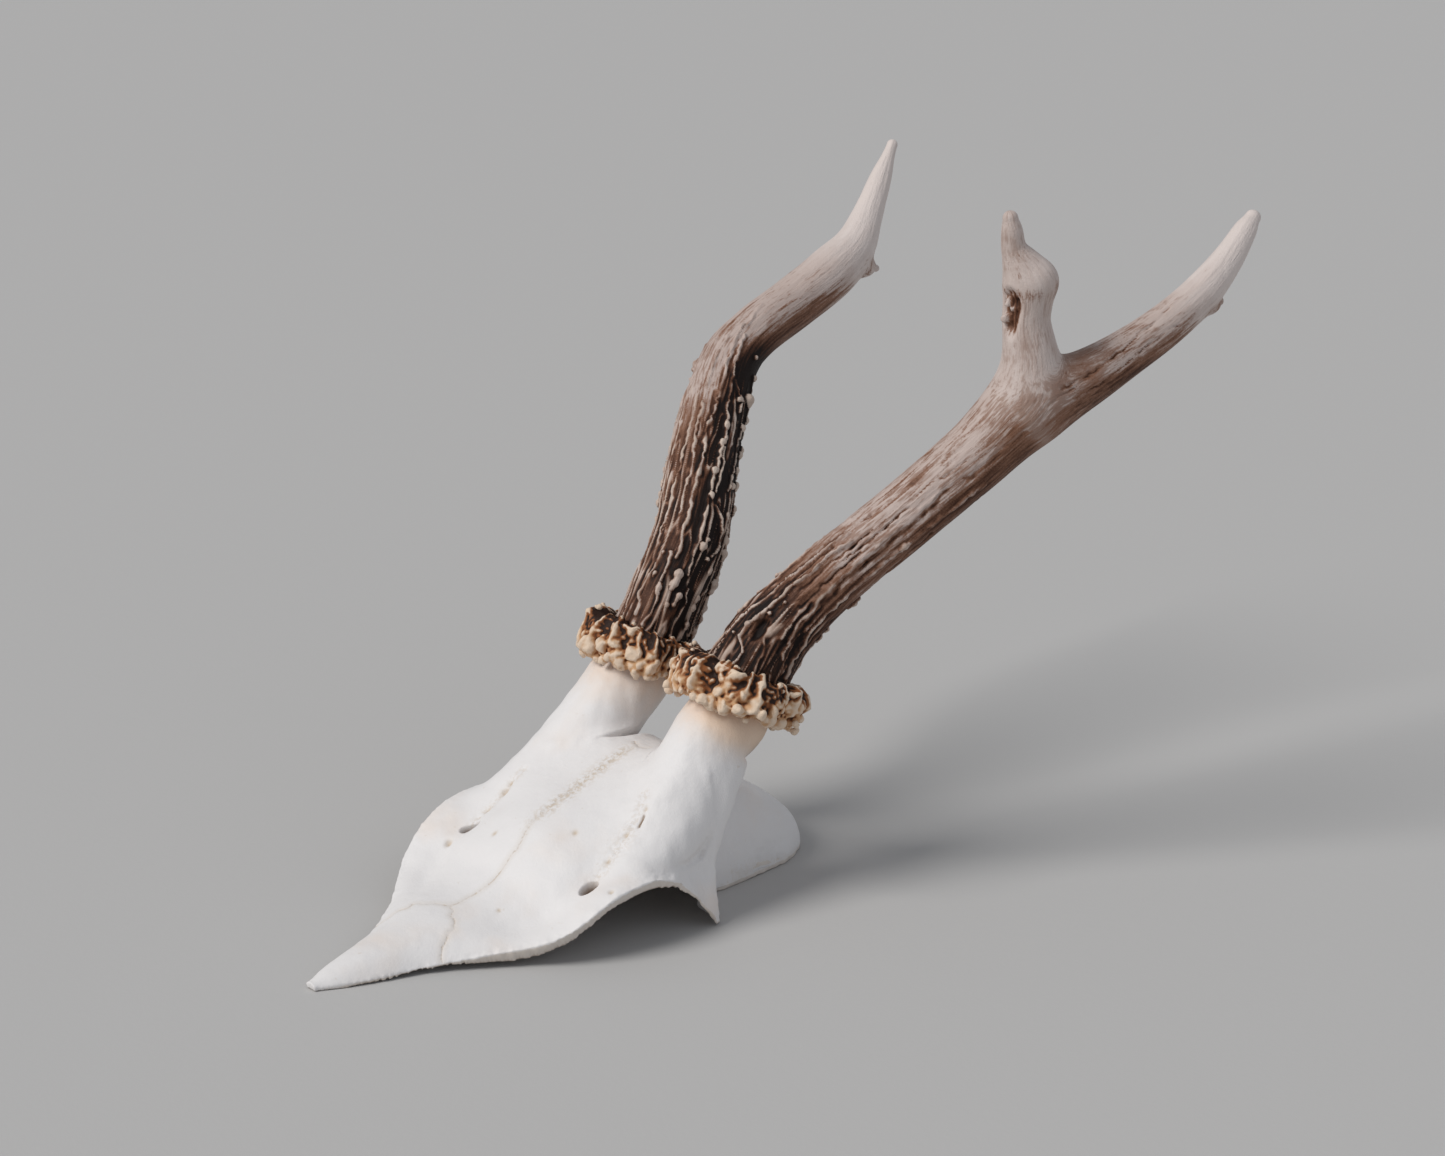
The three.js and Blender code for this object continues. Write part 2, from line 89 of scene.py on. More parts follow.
# ------------------------------------------------------------------ burrs and antlers
BURR_UP = np.array((0.0, 0.427, 0.904))       # the way both burrs face
BURR_BACK = np.array((0.0, 0.904, -0.427))    # across a burr, towards the back
BACK_LEFT = np.array((0.669, 0.743, 0.0))     # level, towards the back left of the animal
BURR_HEIGHT = 0.0125
LEFT_BURR = {"centre": (0.0235, 0.0243, 0.0608), "radius": 0.0215, "seed": 4}
RIGHT_BURR = {"centre": (-0.0210, 0.0253, 0.0622), "radius": 0.0196, "seed": 11}
BURR_CENTRES = np.array([LEFT_BURR["centre"], RIGHT_BURR["centre"]])

# Stations along the beams and tines, in millimetres: X, Y, Z, radius.
LEFT_BEAM = MM * np.array((
    (24.5, 26.4, 64.5, 12.4), (28.8, 33.8, 77.8, 11.3), (36.8, 47.4, 93.1, 10.2),
    (48.6, 68.4, 111.8, 10), (58, 87, 128, 10.4), (64.8, 102, 141.5, 11.2), (71, 119.2, 148.4, 8.5),
    (74.8, 132.6, 154.5, 7.1), (77.7, 147.6, 161.6, 6.4), (78.8, 161.2, 169, 5.9),
    (78.6, 173.4, 177.6, 4.7), (77.6, 182.2, 185, 3.6), (77.1, 186.2, 188.4, 2.5),
))
LEFT_FRONT_TINE = MM * np.array((
    (64.8, 101, 142, 9.6), (65.2, 101.8, 156, 8.2), (64.2, 100.8, 168, 7), (64.3, 101, 172.4, 7),
    (64.3, 101, 177.2, 6.9), (63.6, 99.5, 182.8, 5.8), (62.2, 96.9, 188.8, 3.7),
    (62.1, 95.9, 194.2, 3.1), (61.9, 95.3, 197.8, 2.3),
))
LEFT_TINE_BULB = MM * np.array((
    (64.6, 100.8, 177.6, 5.8), (65.8, 101.4, 178.6, 6), (67, 101.8, 179.5, 6),
))
LEFT_REAR_NUB = MM * np.array((
    (78.6, 159, 166.8, 4.4), (79.4, 164.5, 165.6, 3.4), (80, 168.6, 165.8, 1.4),
))
RIGHT_BEAM = MM * np.array((
    (-19.6, 28.4, 66, 11.7), (-18.7, 34.8, 78.4, 11.3), (-24, 49, 94, 11.2), (-36, 63.8, 108.5, 10.8),
    (-48.6, 80.6, 122.4, 10.2), (-55, 94, 136.4, 9.2), (-55.7, 104.2, 142.8, 8.5),
    (-56.9, 122.2, 149.6, 8.5), (-56.6, 137.6, 156.8, 8.6), (-57.6, 150, 164, 7), (-61, 159, 172, 5.2),
    (-64.3, 168.4, 183.2, 3.7), (-66.4, 176, 193.8, 1.8),
))
RIGHT_REAR_NUB = MM * np.array((
    (-57, 146, 160.4, 5.6), (-55, 152, 158, 3.8), (-53.6, 156.4, 156.8, 1.2),
))

SPINE_STEP = 0.0005                # spacing of the samples along a centre line
CURVE_STEPS = 40                   # points of the curve between two stations
TUBE_SIDES, TUBE_STEP = 48, 0.001
LEAST_GRAINED = 0.006              # a branch shorter than this has no grain of its own
UNDERSIDE, UNDERSIDE_KEPT = -0.45, 0.30   # faces that look down more are made fewer
SLAB_CUTS = 119                    # cuts along each side of the cap's first block
BATCH = 20000                      # points that are measured against a spine at a time
LONGEST_PUSH = 0.0012              # furthest that one round of settling moves a point
CAP_LEAST_WAY, BAR_LEAST_WAY = 0.2, 0.25   # least squared way that a push is divided by


# ------------------------------------------------------------------ plain maths
def smooth(low, high, value):
    """0 below low, 1 above high and an even slope between."""
    share = np.clip((value - low) / (high - low), 0.0, 1.0)
    return share * share * (3.0 - 2.0 * share)


def lerp(first, second, share):
    return first + (second - first) * share


def bell(value, width):
    return np.exp(-((value / width) ** 2))


def unit(vectors):
    return vectors / np.maximum(np.linalg.norm(vectors, axis=-1, keepdims=True), 1e-12)


def station_values(stations, column, place):
    """A column of a table of stations at these places, on a curve that never overshoots."""
    table = np.array(stations)
    where, values = table[:, 0], table[:, column]
    rise = np.diff(values) / np.diff(where)
    before, after = rise[:-1], rise[1:]
    same_way = before * after > 0
    slope = np.zeros(len(where))
    slope[1:-1] = np.where(same_way, 2 * before * after / np.where(same_way, before + after, 1), 0)
    place = np.clip(place, where[0], where[-1])
    i = np.clip(np.searchsorted(where, place, side="right") - 1, 0, len(where) - 2)
    span = where[i + 1] - where[i]
    t = (place - where[i]) / span
    start = (2 * t**3 - 3 * t**2 + 1) * values[i] + (t**3 - 2 * t**2 + t) * slope[i] * span
    end = (3 * t**2 - 2 * t**3) * values[i + 1] + (t**3 - t**2) * slope[i + 1] * span
    return start + end


def lattice(cell, seed):
    """A repeatable number from -1 to 1 for each whole-numbered cell."""
    mixed = cell[..., 0] * 73856093 ^ cell[..., 1] * 19349663 ^ cell[..., 2] * 83492791
    mixed = (mixed ^ (seed * 40503 + 977)) & 0xFFFFFFFF
    for _ in range(2):
        mixed = ((mixed ^ (mixed >> 15)) * 0x2C1B3C6D) & 0xFFFFFFFF
    return ((mixed >> 8) & 0xFFFF) / 32767.5 - 1.0


def noise(points, cell, seed):
    """Smooth random values from -1 to 1 with lumps the size of cell."""
    scaled = points / cell
    corner = np.floor(scaled).astype(np.int64)
    part = scaled - corner
    part = part * part * (3 - 2 * part)
    total = np.zeros(scaled.shape[:-1])
    for code in range(8):
        step = np.array((code & 1, code >> 1 & 1, code >> 2 & 1))
        share = np.where(step, part, 1 - part).prod(axis=-1)
        total += share * lattice(corner + step, seed)
    return total


def cloudy(points, *layers):
    """Noise of several lump sizes added up; a layer is a lump size, a seed and its strength."""
    return sum(noise(points, cell, seed) * strength for cell, seed, strength in layers)


def scattered(points, size, seed):
    """Distance to the nearest of many scattered middles, and that one's own random number."""
    scaled = points / size
    corner = np.floor(scaled).astype(np.int64)
    nearest, number = np.full(len(points), 9.0), np.zeros(len(points))
    for code in range(27):
        cell = corner + np.array((code % 3, code // 3 % 3, code // 9)) - 1
        shift = np.stack([lattice(cell, seed + k) for k in range(3)], axis=1)
        away = np.linalg.norm(scaled - cell - 0.5 - 0.42 * shift, axis=1)
        number = np.where(away < nearest, lattice(cell, seed + 3), number)
        nearest = np.minimum(nearest, away)
    return nearest * size, number


# ------------------------------------------------------------------ meshes
def alone(piece):
    """Makes piece the only selected object and the active one."""
    bpy.ops.object.select_all(action="DESELECT")
    piece.select_set(True)
    bpy.context.view_layer.objects.active = piece
    return piece


def named(piece, name):
    piece.name = name
    piece.data.name = name
    return piece


def field_of(rows, field, width=3, kind=float):
    """One field of all the points, edges or faces of a mesh, a row for each."""
    found = np.empty(len(rows) * width, kind)
    rows.foreach_get(field, found)
    return found.reshape(-1, width)


def points_of(piece):
    return field_of(piece.data.vertices, "co")


def normals_of(piece):
    return field_of(piece.data.vertices, "normal")


def move_points(piece, points):
    piece.data.vertices.foreach_set("co", points.ravel())
    piece.data.update()


def edit_faces(piece, chosen, operator, **settings):
    """Selects only the chosen faces and runs one edit mode operator on them."""
    mesh = piece.data
    for rows in (mesh.polygons, mesh.edges, mesh.vertices):
        rows.foreach_set("select", np.zeros(len(rows), bool))
    mesh.polygons.foreach_set("select", chosen)
    alone(piece)
    bpy.ops.object.mode_set(mode="EDIT")
    bpy.ops.mesh.select_mode(type="FACE")
    operator(**settings)
    bpy.ops.object.mode_set(mode="OBJECT")


def dress(piece, material, masks):
    """Gives a piece its material, and the numbers or vectors per point that it reads."""
    for name, values in masks.items():
        wide = values.ndim == 2
        kept = piece.data.attributes.new(name, "FLOAT_VECTOR" if wide else "FLOAT", "POINT")
        kept.data.foreach_set("vector" if wide else "value", values.astype(np.float32).ravel())
    piece.data.materials.clear()
    piece.data.materials.append(material)


def smoothed(points, edges, turns):
    """The points after each has moved to the middle of its neighbours, turns times."""
    count = np.bincount(edges.ravel(), minlength=len(points))[:, None]
    for _ in range(turns):
        around = np.stack([
            np.bincount(edges[:, 0], points[edges[:, 1], axis], len(points))
            + np.bincount(edges[:, 1], points[edges[:, 0], axis], len(points))
            for axis in range(3)
        ], axis=1)
        points = (points + around / count) / 2
    return points


def standing_out(piece, turns):
    """How far each point stands out of the surface around it; hollows are negative."""
    points = points_of(piece)
    flat = smoothed(points, field_of(piece.data.edges, "vertices", 2, np.int32), turns)
    return np.einsum("ij,ij->i", points - flat, normals_of(piece))


def apply_modifier(piece, kind, **settings):
    alone(piece)
    modifier = piece.modifiers.new(kind.lower(), kind)
    for setting, value in settings.items():
        setattr(modifier, setting, value)
    bpy.ops.object.modifier_apply(modifier=modifier.name)


def fused(pieces, name, voxel, softening):
    """Joins closed pieces into one skin of even small faces."""
    alone(pieces[0])
    for piece in pieces[1:]:
        piece.select_set(True)
    bpy.ops.object.join()
    piece = named(bpy.context.object, name)
    apply_modifier(piece, "REMESH", mode="VOXEL", voxel_size=voxel, use_smooth_shade=True)
    if softening:
        apply_modifier(piece, "SMOOTH", factor=0.5, iterations=softening)
    return piece


class Spine:
    """A smooth centre line through stations, with a radius and two side ways at each sample."""

    def __init__(self, stations):
        table = np.array(stations)
        line, widths = self.curve(table)
        run = np.concatenate([[0], np.cumsum(np.linalg.norm(np.diff(line, axis=0), axis=1))])
        self.length = run[-1]
        self.along = np.linspace(0, run[-1], max(8, round(run[-1] / SPINE_STEP)))
        self.centre = np.stack([np.interp(self.along, run, line[:, k]) for k in range(3)], axis=1)
        self.radius = np.interp(self.along, run, widths)
        self.ahead = unit(np.gradient(self.centre, axis=0))
        across = np.array((1.0, 0.0, 0.0)) - self.ahead * self.ahead[:, :1]
        self.side = unit(across)
        self.over = np.cross(self.ahead, self.side)

    @staticmethod
    def curve(table):
        """Points on a centripetal curve through the stations, and the radius at each."""
        points = table[:, :3]
        padded = np.vstack([2 * points[0] - points[1], points, 2 * points[-1] - points[-2]])
        gaps = np.sqrt(np.linalg.norm(np.diff(padded, axis=0), axis=1))
        steps = np.linspace(0, 1, CURVE_STEPS, endpoint=False)[:, None]
        line = []
        for i in range(len(points) - 1):
            p0, p1, p2, p3 = padded[i:i + 4]
            g0, g1, g2 = gaps[i:i + 3]
            leave = ((p1 - p0) / g0 - (p2 - p0) / (g0 + g1) + (p2 - p1) / g1) * g1
            reach = ((p2 - p1) / g1 - (p3 - p1) / (g1 + g2) + (p3 - p2) / g2) * g1
            cubic, square = 2 * p1 - 2 * p2 + leave + reach, -3 * p1 + 3 * p2 - 2 * leave - reach
            line.append(cubic * steps**3 + square * steps**2 + leave * steps + p1)
        line.append(points[-1:])
        line = np.vstack(line)
        order = np.arange(len(line)) / CURVE_STEPS
        rows = np.column_stack([np.arange(len(points)), table[:, 3]])
        return line, station_values(rows, 1, order)

    def around(self, points):
        """For each point: its sample, how far it lies off the surface, its run and its turn."""
        best = np.empty(len(points), int)
        inner = (self.centre**2).sum(1)
        for start in range(0, len(points), BATCH):
            part = points[start:start + BATCH]
            square = (part**2).sum(1)[:, None] - 2 * part @ self.centre.T + inner
            best[start:start + BATCH] = (np.sqrt(np.maximum(square, 0)) - self.radius).argmin(1)
        offset = points - self.centre[best]
        gap = np.linalg.norm(offset, axis=1) - self.radius[best]
        run = self.along[best] + np.einsum("ij,ij->i", offset, self.ahead[best])
        turn = np.arctan2(
            np.einsum("ij,ij->i", offset, self.over[best]),
            np.einsum("ij,ij->i", offset, self.side[best]),
        )
        return best, gap, run, turn


def tube(spine):
    """A closed round bar along a spine, rolled from a flat grid, with a domed far end."""
    step = max(1, len(spine.along) // max(8, round(spine.length / TUBE_STEP)))
    picked = np.append(np.arange(0, len(spine.along) - 1, step), len(spine.along) - 1)
    dome = np.radians(np.arange(15, 90, 15))
    end = spine.radius[-1]
    centre = np.vstack([
        spine.centre[picked],
        spine.centre[-1] + np.outer(np.sin(dome) * end, spine.ahead[-1]),
    ])
    radius = np.append(spine.radius[picked], np.cos(dome) * end)
    side = np.vstack([spine.side[picked], np.repeat(spine.side[-1:], len(dome), axis=0)])
    over = np.vstack([spine.over[picked], np.repeat(spine.over[-1:], len(dome), axis=0)])
    bpy.ops.mesh.primitive_grid_add(
        x_subdivisions=TUBE_SIDES, y_subdivisions=len(radius) - 1, size=2)
    bar = bpy.context.object
    flat = points_of(bar)
    turn = (flat[:, 0] + 1) * math.pi
    ring = np.rint((flat[:, 1] + 1) / 2 * (len(radius) - 1)).astype(int)
    out = side[ring] * np.cos(turn)[:, None] + over[ring] * np.sin(turn)[:, None]
    move_points(bar, centre[ring] + out * radius[ring, None])
    alone(bar)
    bpy.ops.object.mode_set(mode="EDIT")
    bpy.ops.mesh.select_all(action="SELECT")
    bpy.ops.mesh.remove_doubles(threshold=1e-6)
    bpy.ops.mesh.fill_holes(sides=0)
    bpy.ops.mesh.normals_make_consistent(inside=False)
    bpy.ops.object.mode_set(mode="OBJECT")
    return bar


def balls(name, centres, radii):
    """One object of many small round lumps."""
    bpy.ops.mesh.primitive_ico_sphere_add(subdivisions=2, radius=1)
    lump = bpy.context.object
    form = points_of(lump)
    faces = np.array([list(p.vertices) for p in lump.data.polygons])
    bpy.data.objects.remove(lump)
    count = len(radii)
    points = (centres[:, None, :] + form[None] * radii[:, None, None]).reshape(-1, 3)
    corners = (faces[None] + np.arange(count)[:, None, None] * len(form)).reshape(-1, 3)
    mesh = bpy.data.meshes.new(name)
    mesh.from_pydata(points.tolist(), [], corners.tolist())
    made = bpy.data.objects.new(name, mesh)
    bpy.context.collection.objects.link(made)
    return made


def melted(gaps, softness):
    """One distance from several, rounded where two surfaces meet, and each one's share."""
    weights = [np.exp(-gap / softness) for gap in gaps]
    total = sum(weights)
    return -softness * np.log(total), [weight / total for weight in weights]


def pushed(points, way, gap, share, least):
    """The points moved back along their ways by their gaps, not far and only by a share."""
    size = np.maximum((way**2).sum(1), least)
    return points - way * (np.clip(gap / size, -LONGEST_PUSH, LONGEST_PUSH) * share)[:, None]


# ------------------------------------------------------------------ shader maths
class Wire:
    """A node's output in a material. Plain maths on it adds Math nodes."""

    def __init__(self, tree, socket=None):
        self.tree = tree
        self.socket = socket

    def make(self, kind, settings=None, inputs=None, output=0):
        """Adds any node: its settings first, then the values or wires of its sockets."""
        node = self.tree.nodes.new(kind)
        for setting, value in (settings or {}).items():
            setattr(node, setting, value)
        for key, value in (inputs or {}).items():
            if isinstance(value, Wire):
                self.tree.links.new(value.socket, node.inputs[key])
            else:
                node.inputs[key].default_value = value
        return Wire(self.tree, node.outputs[output] if len(node.outputs) else None)

    def maths(self, operation, *values):
        return self.make("ShaderNodeMath", {"operation": operation}, dict(enumerate(values)))

    def __add__(self, other):
        return self.maths("ADD", self, other)

    def __sub__(self, other):
        return self.maths("SUBTRACT", self, other)

    def __rsub__(self, other):
        return self.maths("SUBTRACT", other, self)

    def __mul__(self, other):
        return self.maths("MULTIPLY", self, other)

    __radd__ = __add__
    __rmul__ = __mul__

    def between(self, low, high):
        """0 where this is under low, 1 where it is over high, smooth between."""
        limits = {"Value": self, "From Min": low, "From Max": high}
        return self.make("ShaderNodeMapRange", {"interpolation_type": "SMOOTHSTEP"}, limits)

    def speckle(self, scale, detail=3, rough=0.6, stretch=None):
        """Cloudy values from 0 to 1 over the piece, or along a wire that is stretched first."""
        place = self
        if stretch:
            sockets = {"Vector": self, "Scale": (1, 1, stretch)}
            place = self.make("ShaderNodeMapping", None, sockets)
        sockets = {"Vector": place, "Scale": scale, "Detail": detail, "Roughness": rough}
        return self.make("ShaderNodeTexNoise", None, sockets)

    def attribute(self, name, output="Fac"):
        return self.make("ShaderNodeAttribute", {"attribute_name": name}, None, output)

    def painted(self, ground, *coats):
        """A plain colour with further plain colours laid over it, each where its share is 1."""
        settings = {"data_type": "RGBA", "blend_type": "MIX"}
        colour = (*ground, 1.0)
        for coat, share in coats:
            sockets = {0: share, 6: colour, 7: (*coat, 1.0)}
            colour = self.make("ShaderNodeMix", settings, sockets, 2)
        return colour

    def bump(self, height, strength, distance=0.0005):
        sockets = {"Strength": strength, "Distance": distance, "Height": height}
        return self.make("ShaderNodeBump", None, sockets)


def new_material(name):
    """A material with an empty node tree, and its place on the piece as a wire to build on."""
    material = bpy.data.materials.new(name)
    material.use_nodes = True
    material.node_tree.nodes.clear()
    return material, Wire(material.node_tree).make("ShaderNodeTexCoord", output="Object")


def surface(start, colour, roughness, normal, plain):
    """Ends a material in one Principled shader."""
    sockets = {"Base Color": colour, "Roughness": roughness, "Normal": normal, **plain}
    shader = start.make("ShaderNodeBsdfPrincipled", None, sockets)
    start.make("ShaderNodeOutputMaterial", None, {"Surface": shader})


# ------------------------------------------------------------------ settings
def colour_property(name, description, default):
    return FloatVectorProperty(
        name=name, description=description, subtype="COLOR", size=3, min=0, max=1, default=default
    )


def length_property(name, description, default, low, high):
    return FloatProperty(
        name=name, description=description, default=default, min=low, max=high,
        unit="LENGTH", precision=5)


class SkullSettings(bpy.types.PropertyGroup):
    voxel: length_property(
        "Face size", "Edge length of the skull cap's small faces", 0.00064, 0.0003, 0.003)
    suture_depth: length_property(
        "Suture depth", "Depth of the sutures between the bones", 0.00022, 0, 0.002)
    hole_depth: length_property(
        "Hole depth", "Depth of the two nerve holes over the eyes", 0.0040, 0, 0.012)
    bone: colour_property("Bone", "Bleached bone", (0.80, 0.775, 0.765))
    warm: colour_property("Warm bone", "Bone under the burrs, less bleached", (0.78, 0.60, 0.46))
    seam: colour_property("Seam", "Sutures and small pits", (0.56, 0.44, 0.31))
    # The hollow colour is painted shade inside the nerve holes and the slit and under the rims.
    hollow: colour_property("Hollow", "Inside the holes and under the rims", (0.24, 0.16, 0.10))


class BurrSettings(bpy.types.PropertyGroup):
    voxel: length_property(
        "Face size", "Edge length of a burr's small faces", 0.00036, 0.0003, 0.003)
    nodules: IntProperty(
        name="Nodules", description="Round lumps that stand free of one burr",
        default=34, min=0, max=300)
    folds: IntProperty(
        name="Folds", description="Ridges that run down the outside of a burr",
        default=19, min=3, max=40)
    crest: colour_property("Crest", "Worn pale edges", (0.77, 0.605, 0.46))
    cream: colour_property("Cream", "The nodules", (0.59, 0.345, 0.18))
    # Amber is partly stain and partly painted shade on the sides of the hollows; dark is partly the
    # burr's own dark brown on its upper half and partly painted shade in the deepest hollows.
    amber_stain_and_shade: colour_property("Amber", "Stained sides of the hollows", (0.29, 0.100, 0.030))
    dark: colour_property("Dark", "Depths of the hollows", (0.026, 0.010, 0.005))


class AntlerSettings(bpy.types.PropertyGroup):
    voxel: length_property(
        "Face size", "Edge length of an antler's small faces", 0.00045, 0.0003, 0.003)
    ridge_height: length_property(
        "Ridge height", "Height of the lengthwise ridges near the burr", 0.00095, 0, 0.003)
    ivory: colour_property("Ivory", "Polished tips", (0.71, 0.625, 0.585))
    beige: colour_property("Beige", "Worn sides of the beams", (0.525, 0.42, 0.375))
    tan: colour_property("Tan", "Sides of the ridges", (0.235, 0.114, 0.068))
    brown: colour_property("Brown", "Stain along the furrows", (0.084, 0.032, 0.016))
    dark: colour_property("Dark", "Depths of the furrows near the burr", (0.010, 0.0045, 0.003))
    ridge: colour_property("Ridge", "Worn tops of ridges and pearls", (0.68, 0.56, 0.47))


class StageSettings(bpy.types.PropertyGroup):
    lens: FloatProperty(
        name="Lens", description="Focal length of the camera in millimetres",
        default=77.36, min=20, max=300)
    turn: FloatProperty(
        name="Turn", description="The camera's turn about the upright axis",
        default=math.radians(48), subtype="ANGLE")
    dip: FloatProperty(
        name="Dip", description="How far the camera looks down",
        default=math.radians(17.5), subtype="ANGLE")
    key: FloatProperty(
        name="Key light", description="Strength of the main soft light", default=2.1, min=0)
    fill: FloatProperty(
        name="Fill light", description="Strength of the weak cool light", default=0.25, min=0)
    sky: FloatProperty(
        name="Room light", description="Strength of the even light", default=0.34, min=0)
    floor: colour_property("Floor", "Pale matt floor", (0.52, 0.51, 0.50))


# ------------------------------------------------------------------ the skull cap
def lean(x, y):
    return -LEAN * x * (1 - smooth(*LEAN_FADE, y))


def half_breadth(x, y):
    """Half breadth of the cap on the side that x points to."""
    flare = np.where(x < 0, FLARE_OUT * bell(y - FLARE_Y, FLARE_REACH), 0.0)
    return station_values(CAP_STATIONS, HALF, y) + flare


def top_height(x, y):
    """Height of the outer surface: a dome between the eyes, a groove beside it, raised rims."""
    crest = station_values(CAP_STATIONS, CREST, y)
    edge = station_values(CAP_STATIONS, EDGE, y)
    t = np.minimum(1.0, np.abs(x) / half_breadth(x, y))
    dome = 1 - smooth(*DOME_SIDES, t)
    vault = np.sqrt(np.maximum(0.0, 1 - t**VAULT_POWER))
    past_nose = smooth(*NOSE_END, y)
    forehead = past_nose * (1 - smooth(*FOREHEAD_END, y))
    braincase = smooth(*BRAINCASE_START, y)
    middle = 1 - forehead - braincase - (1 - past_nose)
    share = ((1 - t**NOSE_POWER) * (1 - past_nose) + dome * forehead
             + (1 - t**MIDDLE_POWER) * middle + vault * braincase)
    depth, place, width = EYE_GROOVE
    groove = depth * bell(t - place, width) * forehead
    return np.maximum(0.0008, edge + (crest - edge) * share + groove + lean(x, y))


def base_height(x, y):
    """Height of the underside: a shell, thin along the rims and solid at the nose tip."""
    cheek = lerp(NOSE_RIM, CHEEK_RIM, smooth(*CHEEK_START, y))
    rim = lerp(cheek, SOCKET_RIM, smooth(*SOCKET_START, y))
    inner = lerp(cheek, SOCKET_WALL, smooth(*WALL_START, y))
    wall = lerp(inner, rim, smooth(*RIM_SIDES, np.abs(x) / half_breadth(x, y)))
    step = 0.001                   # as a share of x
    top = top_height(x, y)
    slope = (top_height(x * (1 - step), y) - top) / np.maximum(np.abs(x) * step, 1e-7)
    across = np.sqrt(1 + np.minimum(np.abs(slope), STEEPEST) ** 2)
    start, end, side = SOLID_PLACE
    solid = smooth(*start, y) * (1 - smooth(*end, y)) * smooth(*side, np.abs(x))
    hollowed = smooth(*SHELL_START, y) * (1 - solid)
    return np.maximum(0.0, top - wall * lerp(1.0, across, smooth(*STEEP_START, y))) * hollowed


def cap_block():
    """The cap's first form: a finely cut block pressed between its two height functions."""
    bpy.ops.mesh.primitive_cube_add(size=2)
    block = bpy.context.object
    bpy.ops.object.mode_set(mode="EDIT")
    bpy.ops.mesh.subdivide(number_cuts=SLAB_CUTS)
    bpy.ops.object.mode_set(mode="OBJECT")
    flat = points_of(block)
    y = lerp(NOSE_TIP_Y, CAP_BACK_Y, (flat[:, 1] + 1) / 2)
    x = flat[:, 0] * half_breadth(flat[:, 0], y)
    z = lerp(base_height(x, y), top_height(x, y), (flat[:, 2] + 1) / 2)
    move_points(block, np.column_stack([x, y, z]))
    return block


def pedicle_spine(burr):
    """The centre line of the stalk from the forehead up into its burr."""
    centre = np.array(burr["centre"])
    side = np.sign(centre[0])
    top = centre - BURR_UP * (BURR_HEIGHT / 2)
    return Spine((
        (side * 0.0345, -0.0220, 0.0200, 0.0045), (side * 0.0318, -0.0120, 0.0235, 0.0085),
        (side * 0.0274, -0.0030, 0.0290, 0.0115), (side * 0.0240, 0.0056, 0.0374, 0.0123),
        (centre[0] * 0.98, 0.0146, 0.0486, 0.0117), (top[0], top[1] + 0.0006, top[2], 0.0121),
        (top[0], top[1] + 0.0022, top[2] + 0.0040, 0.0110),
    ))


def process_spine(side):
    """The ridge from the back of the stalk down to the tip of the process behind the eye."""
    return Spine((
        (side * 0.0296, 0.0165, 0.0470, 0.0034), (side * 0.0306, 0.0150, 0.0431, 0.0040),
        (side * 0.0321, 0.0125, 0.0395, 0.0042), (side * 0.0328, 0.0095, 0.0342, 0.0042),
        (side * 0.0336, 0.0065, 0.0290, 0.0040), (side * 0.0340, 0.0038, 0.0234, 0.0038),
        (side * 0.0348, 0.0015, 0.0173, 0.0034), (side * 0.0373, 0.0002, 0.0111, 0.0026),
        (side * 0.0399, -0.0006, 0.0058, 0.0019),
    ))


STALKS = [pedicle_spine(LEFT_BURR), pedicle_spine(RIGHT_BURR), process_spine(1), process_spine(-1)]
SETTLED_SIDE = (-0.35, 0.05)       # upward part of the normal from which a point settles
BURR_CLEAR = (0.0045, 0.0075)      # distance below a burr from which a point settles
ROOF_SLACK = 0.003                 # height above the crest from which only stalks count
STALK_MELT, PROCESS_MELT = 0.0042, 0.0014   # how softly the stalks and processes grow out
MELT_SIDES = (0.028, 0.040)        # X range over which one softness gives way to the other


def above_burrs(points):
    """How far each point lies above the higher reached of the burrs' middles, along their axis."""
    return ((points[:, None] - BURR_CENTRES) @ BURR_UP).max(1)


def settle_cap(points, normals):
    """Moves the upper side onto one flowing surface, so that the stalks grow out of the bone."""
    free = smooth(*SETTLED_SIDE, normals[:, 2]) * smooth(*BURR_CLEAR, -above_burrs(points))
    for _ in range(4):
        x, y, z = points.T
        step = 1e-5
        here = top_height(x, y)
        slope_x = (top_height(x + step, y) - here) / step
        slope_y = (top_height(x, y + step) - here) / step
        steep = np.sqrt(1 + slope_x**2 + slope_y**2)
        above = z - station_values(CAP_STATIONS, CREST, y) - ROOF_SLACK
        gaps = [np.maximum((z - here) / steep, above * 0.8) + 2 * np.maximum(above, 0)]
        ways = [np.column_stack([-slope_x, -slope_y, np.ones(len(x))]) / steep[:, None]]
        for spine in STALKS:
            best, gap, _, _ = spine.around(points)
            gaps.append(gap)
            ways.append(unit(points - spine.centre[best]))
        gap, shares = melted(gaps, lerp(STALK_MELT, PROCESS_MELT, smooth(*MELT_SIDES, np.abs(x))))
        way = sum(share[:, None] * w for share, w in zip(shares, ways))
        points = pushed(points, way, gap, free, CAP_LEAST_WAY)
    return points


def line_distance(x, y, line):
    """Distance in plan from each point to a chain of points."""
    best = np.full(len(x), 1.0)
    for (x0, y0), (x1, y1) in zip(line[:-1], line[1:]):
        dx, dy = x1 - x0, y1 - y0
        t = np.clip(((x - x0) * dx + (y - y0) * dy) / (dx * dx + dy * dy), 0, 1)
        best = np.minimum(best, np.hypot(x - x0 - t * dx, y - y0 - t * dy))
    return best


def nearest_line(x, y, lines):
    return np.minimum.reduce([line_distance(x, y, line) for line in lines])


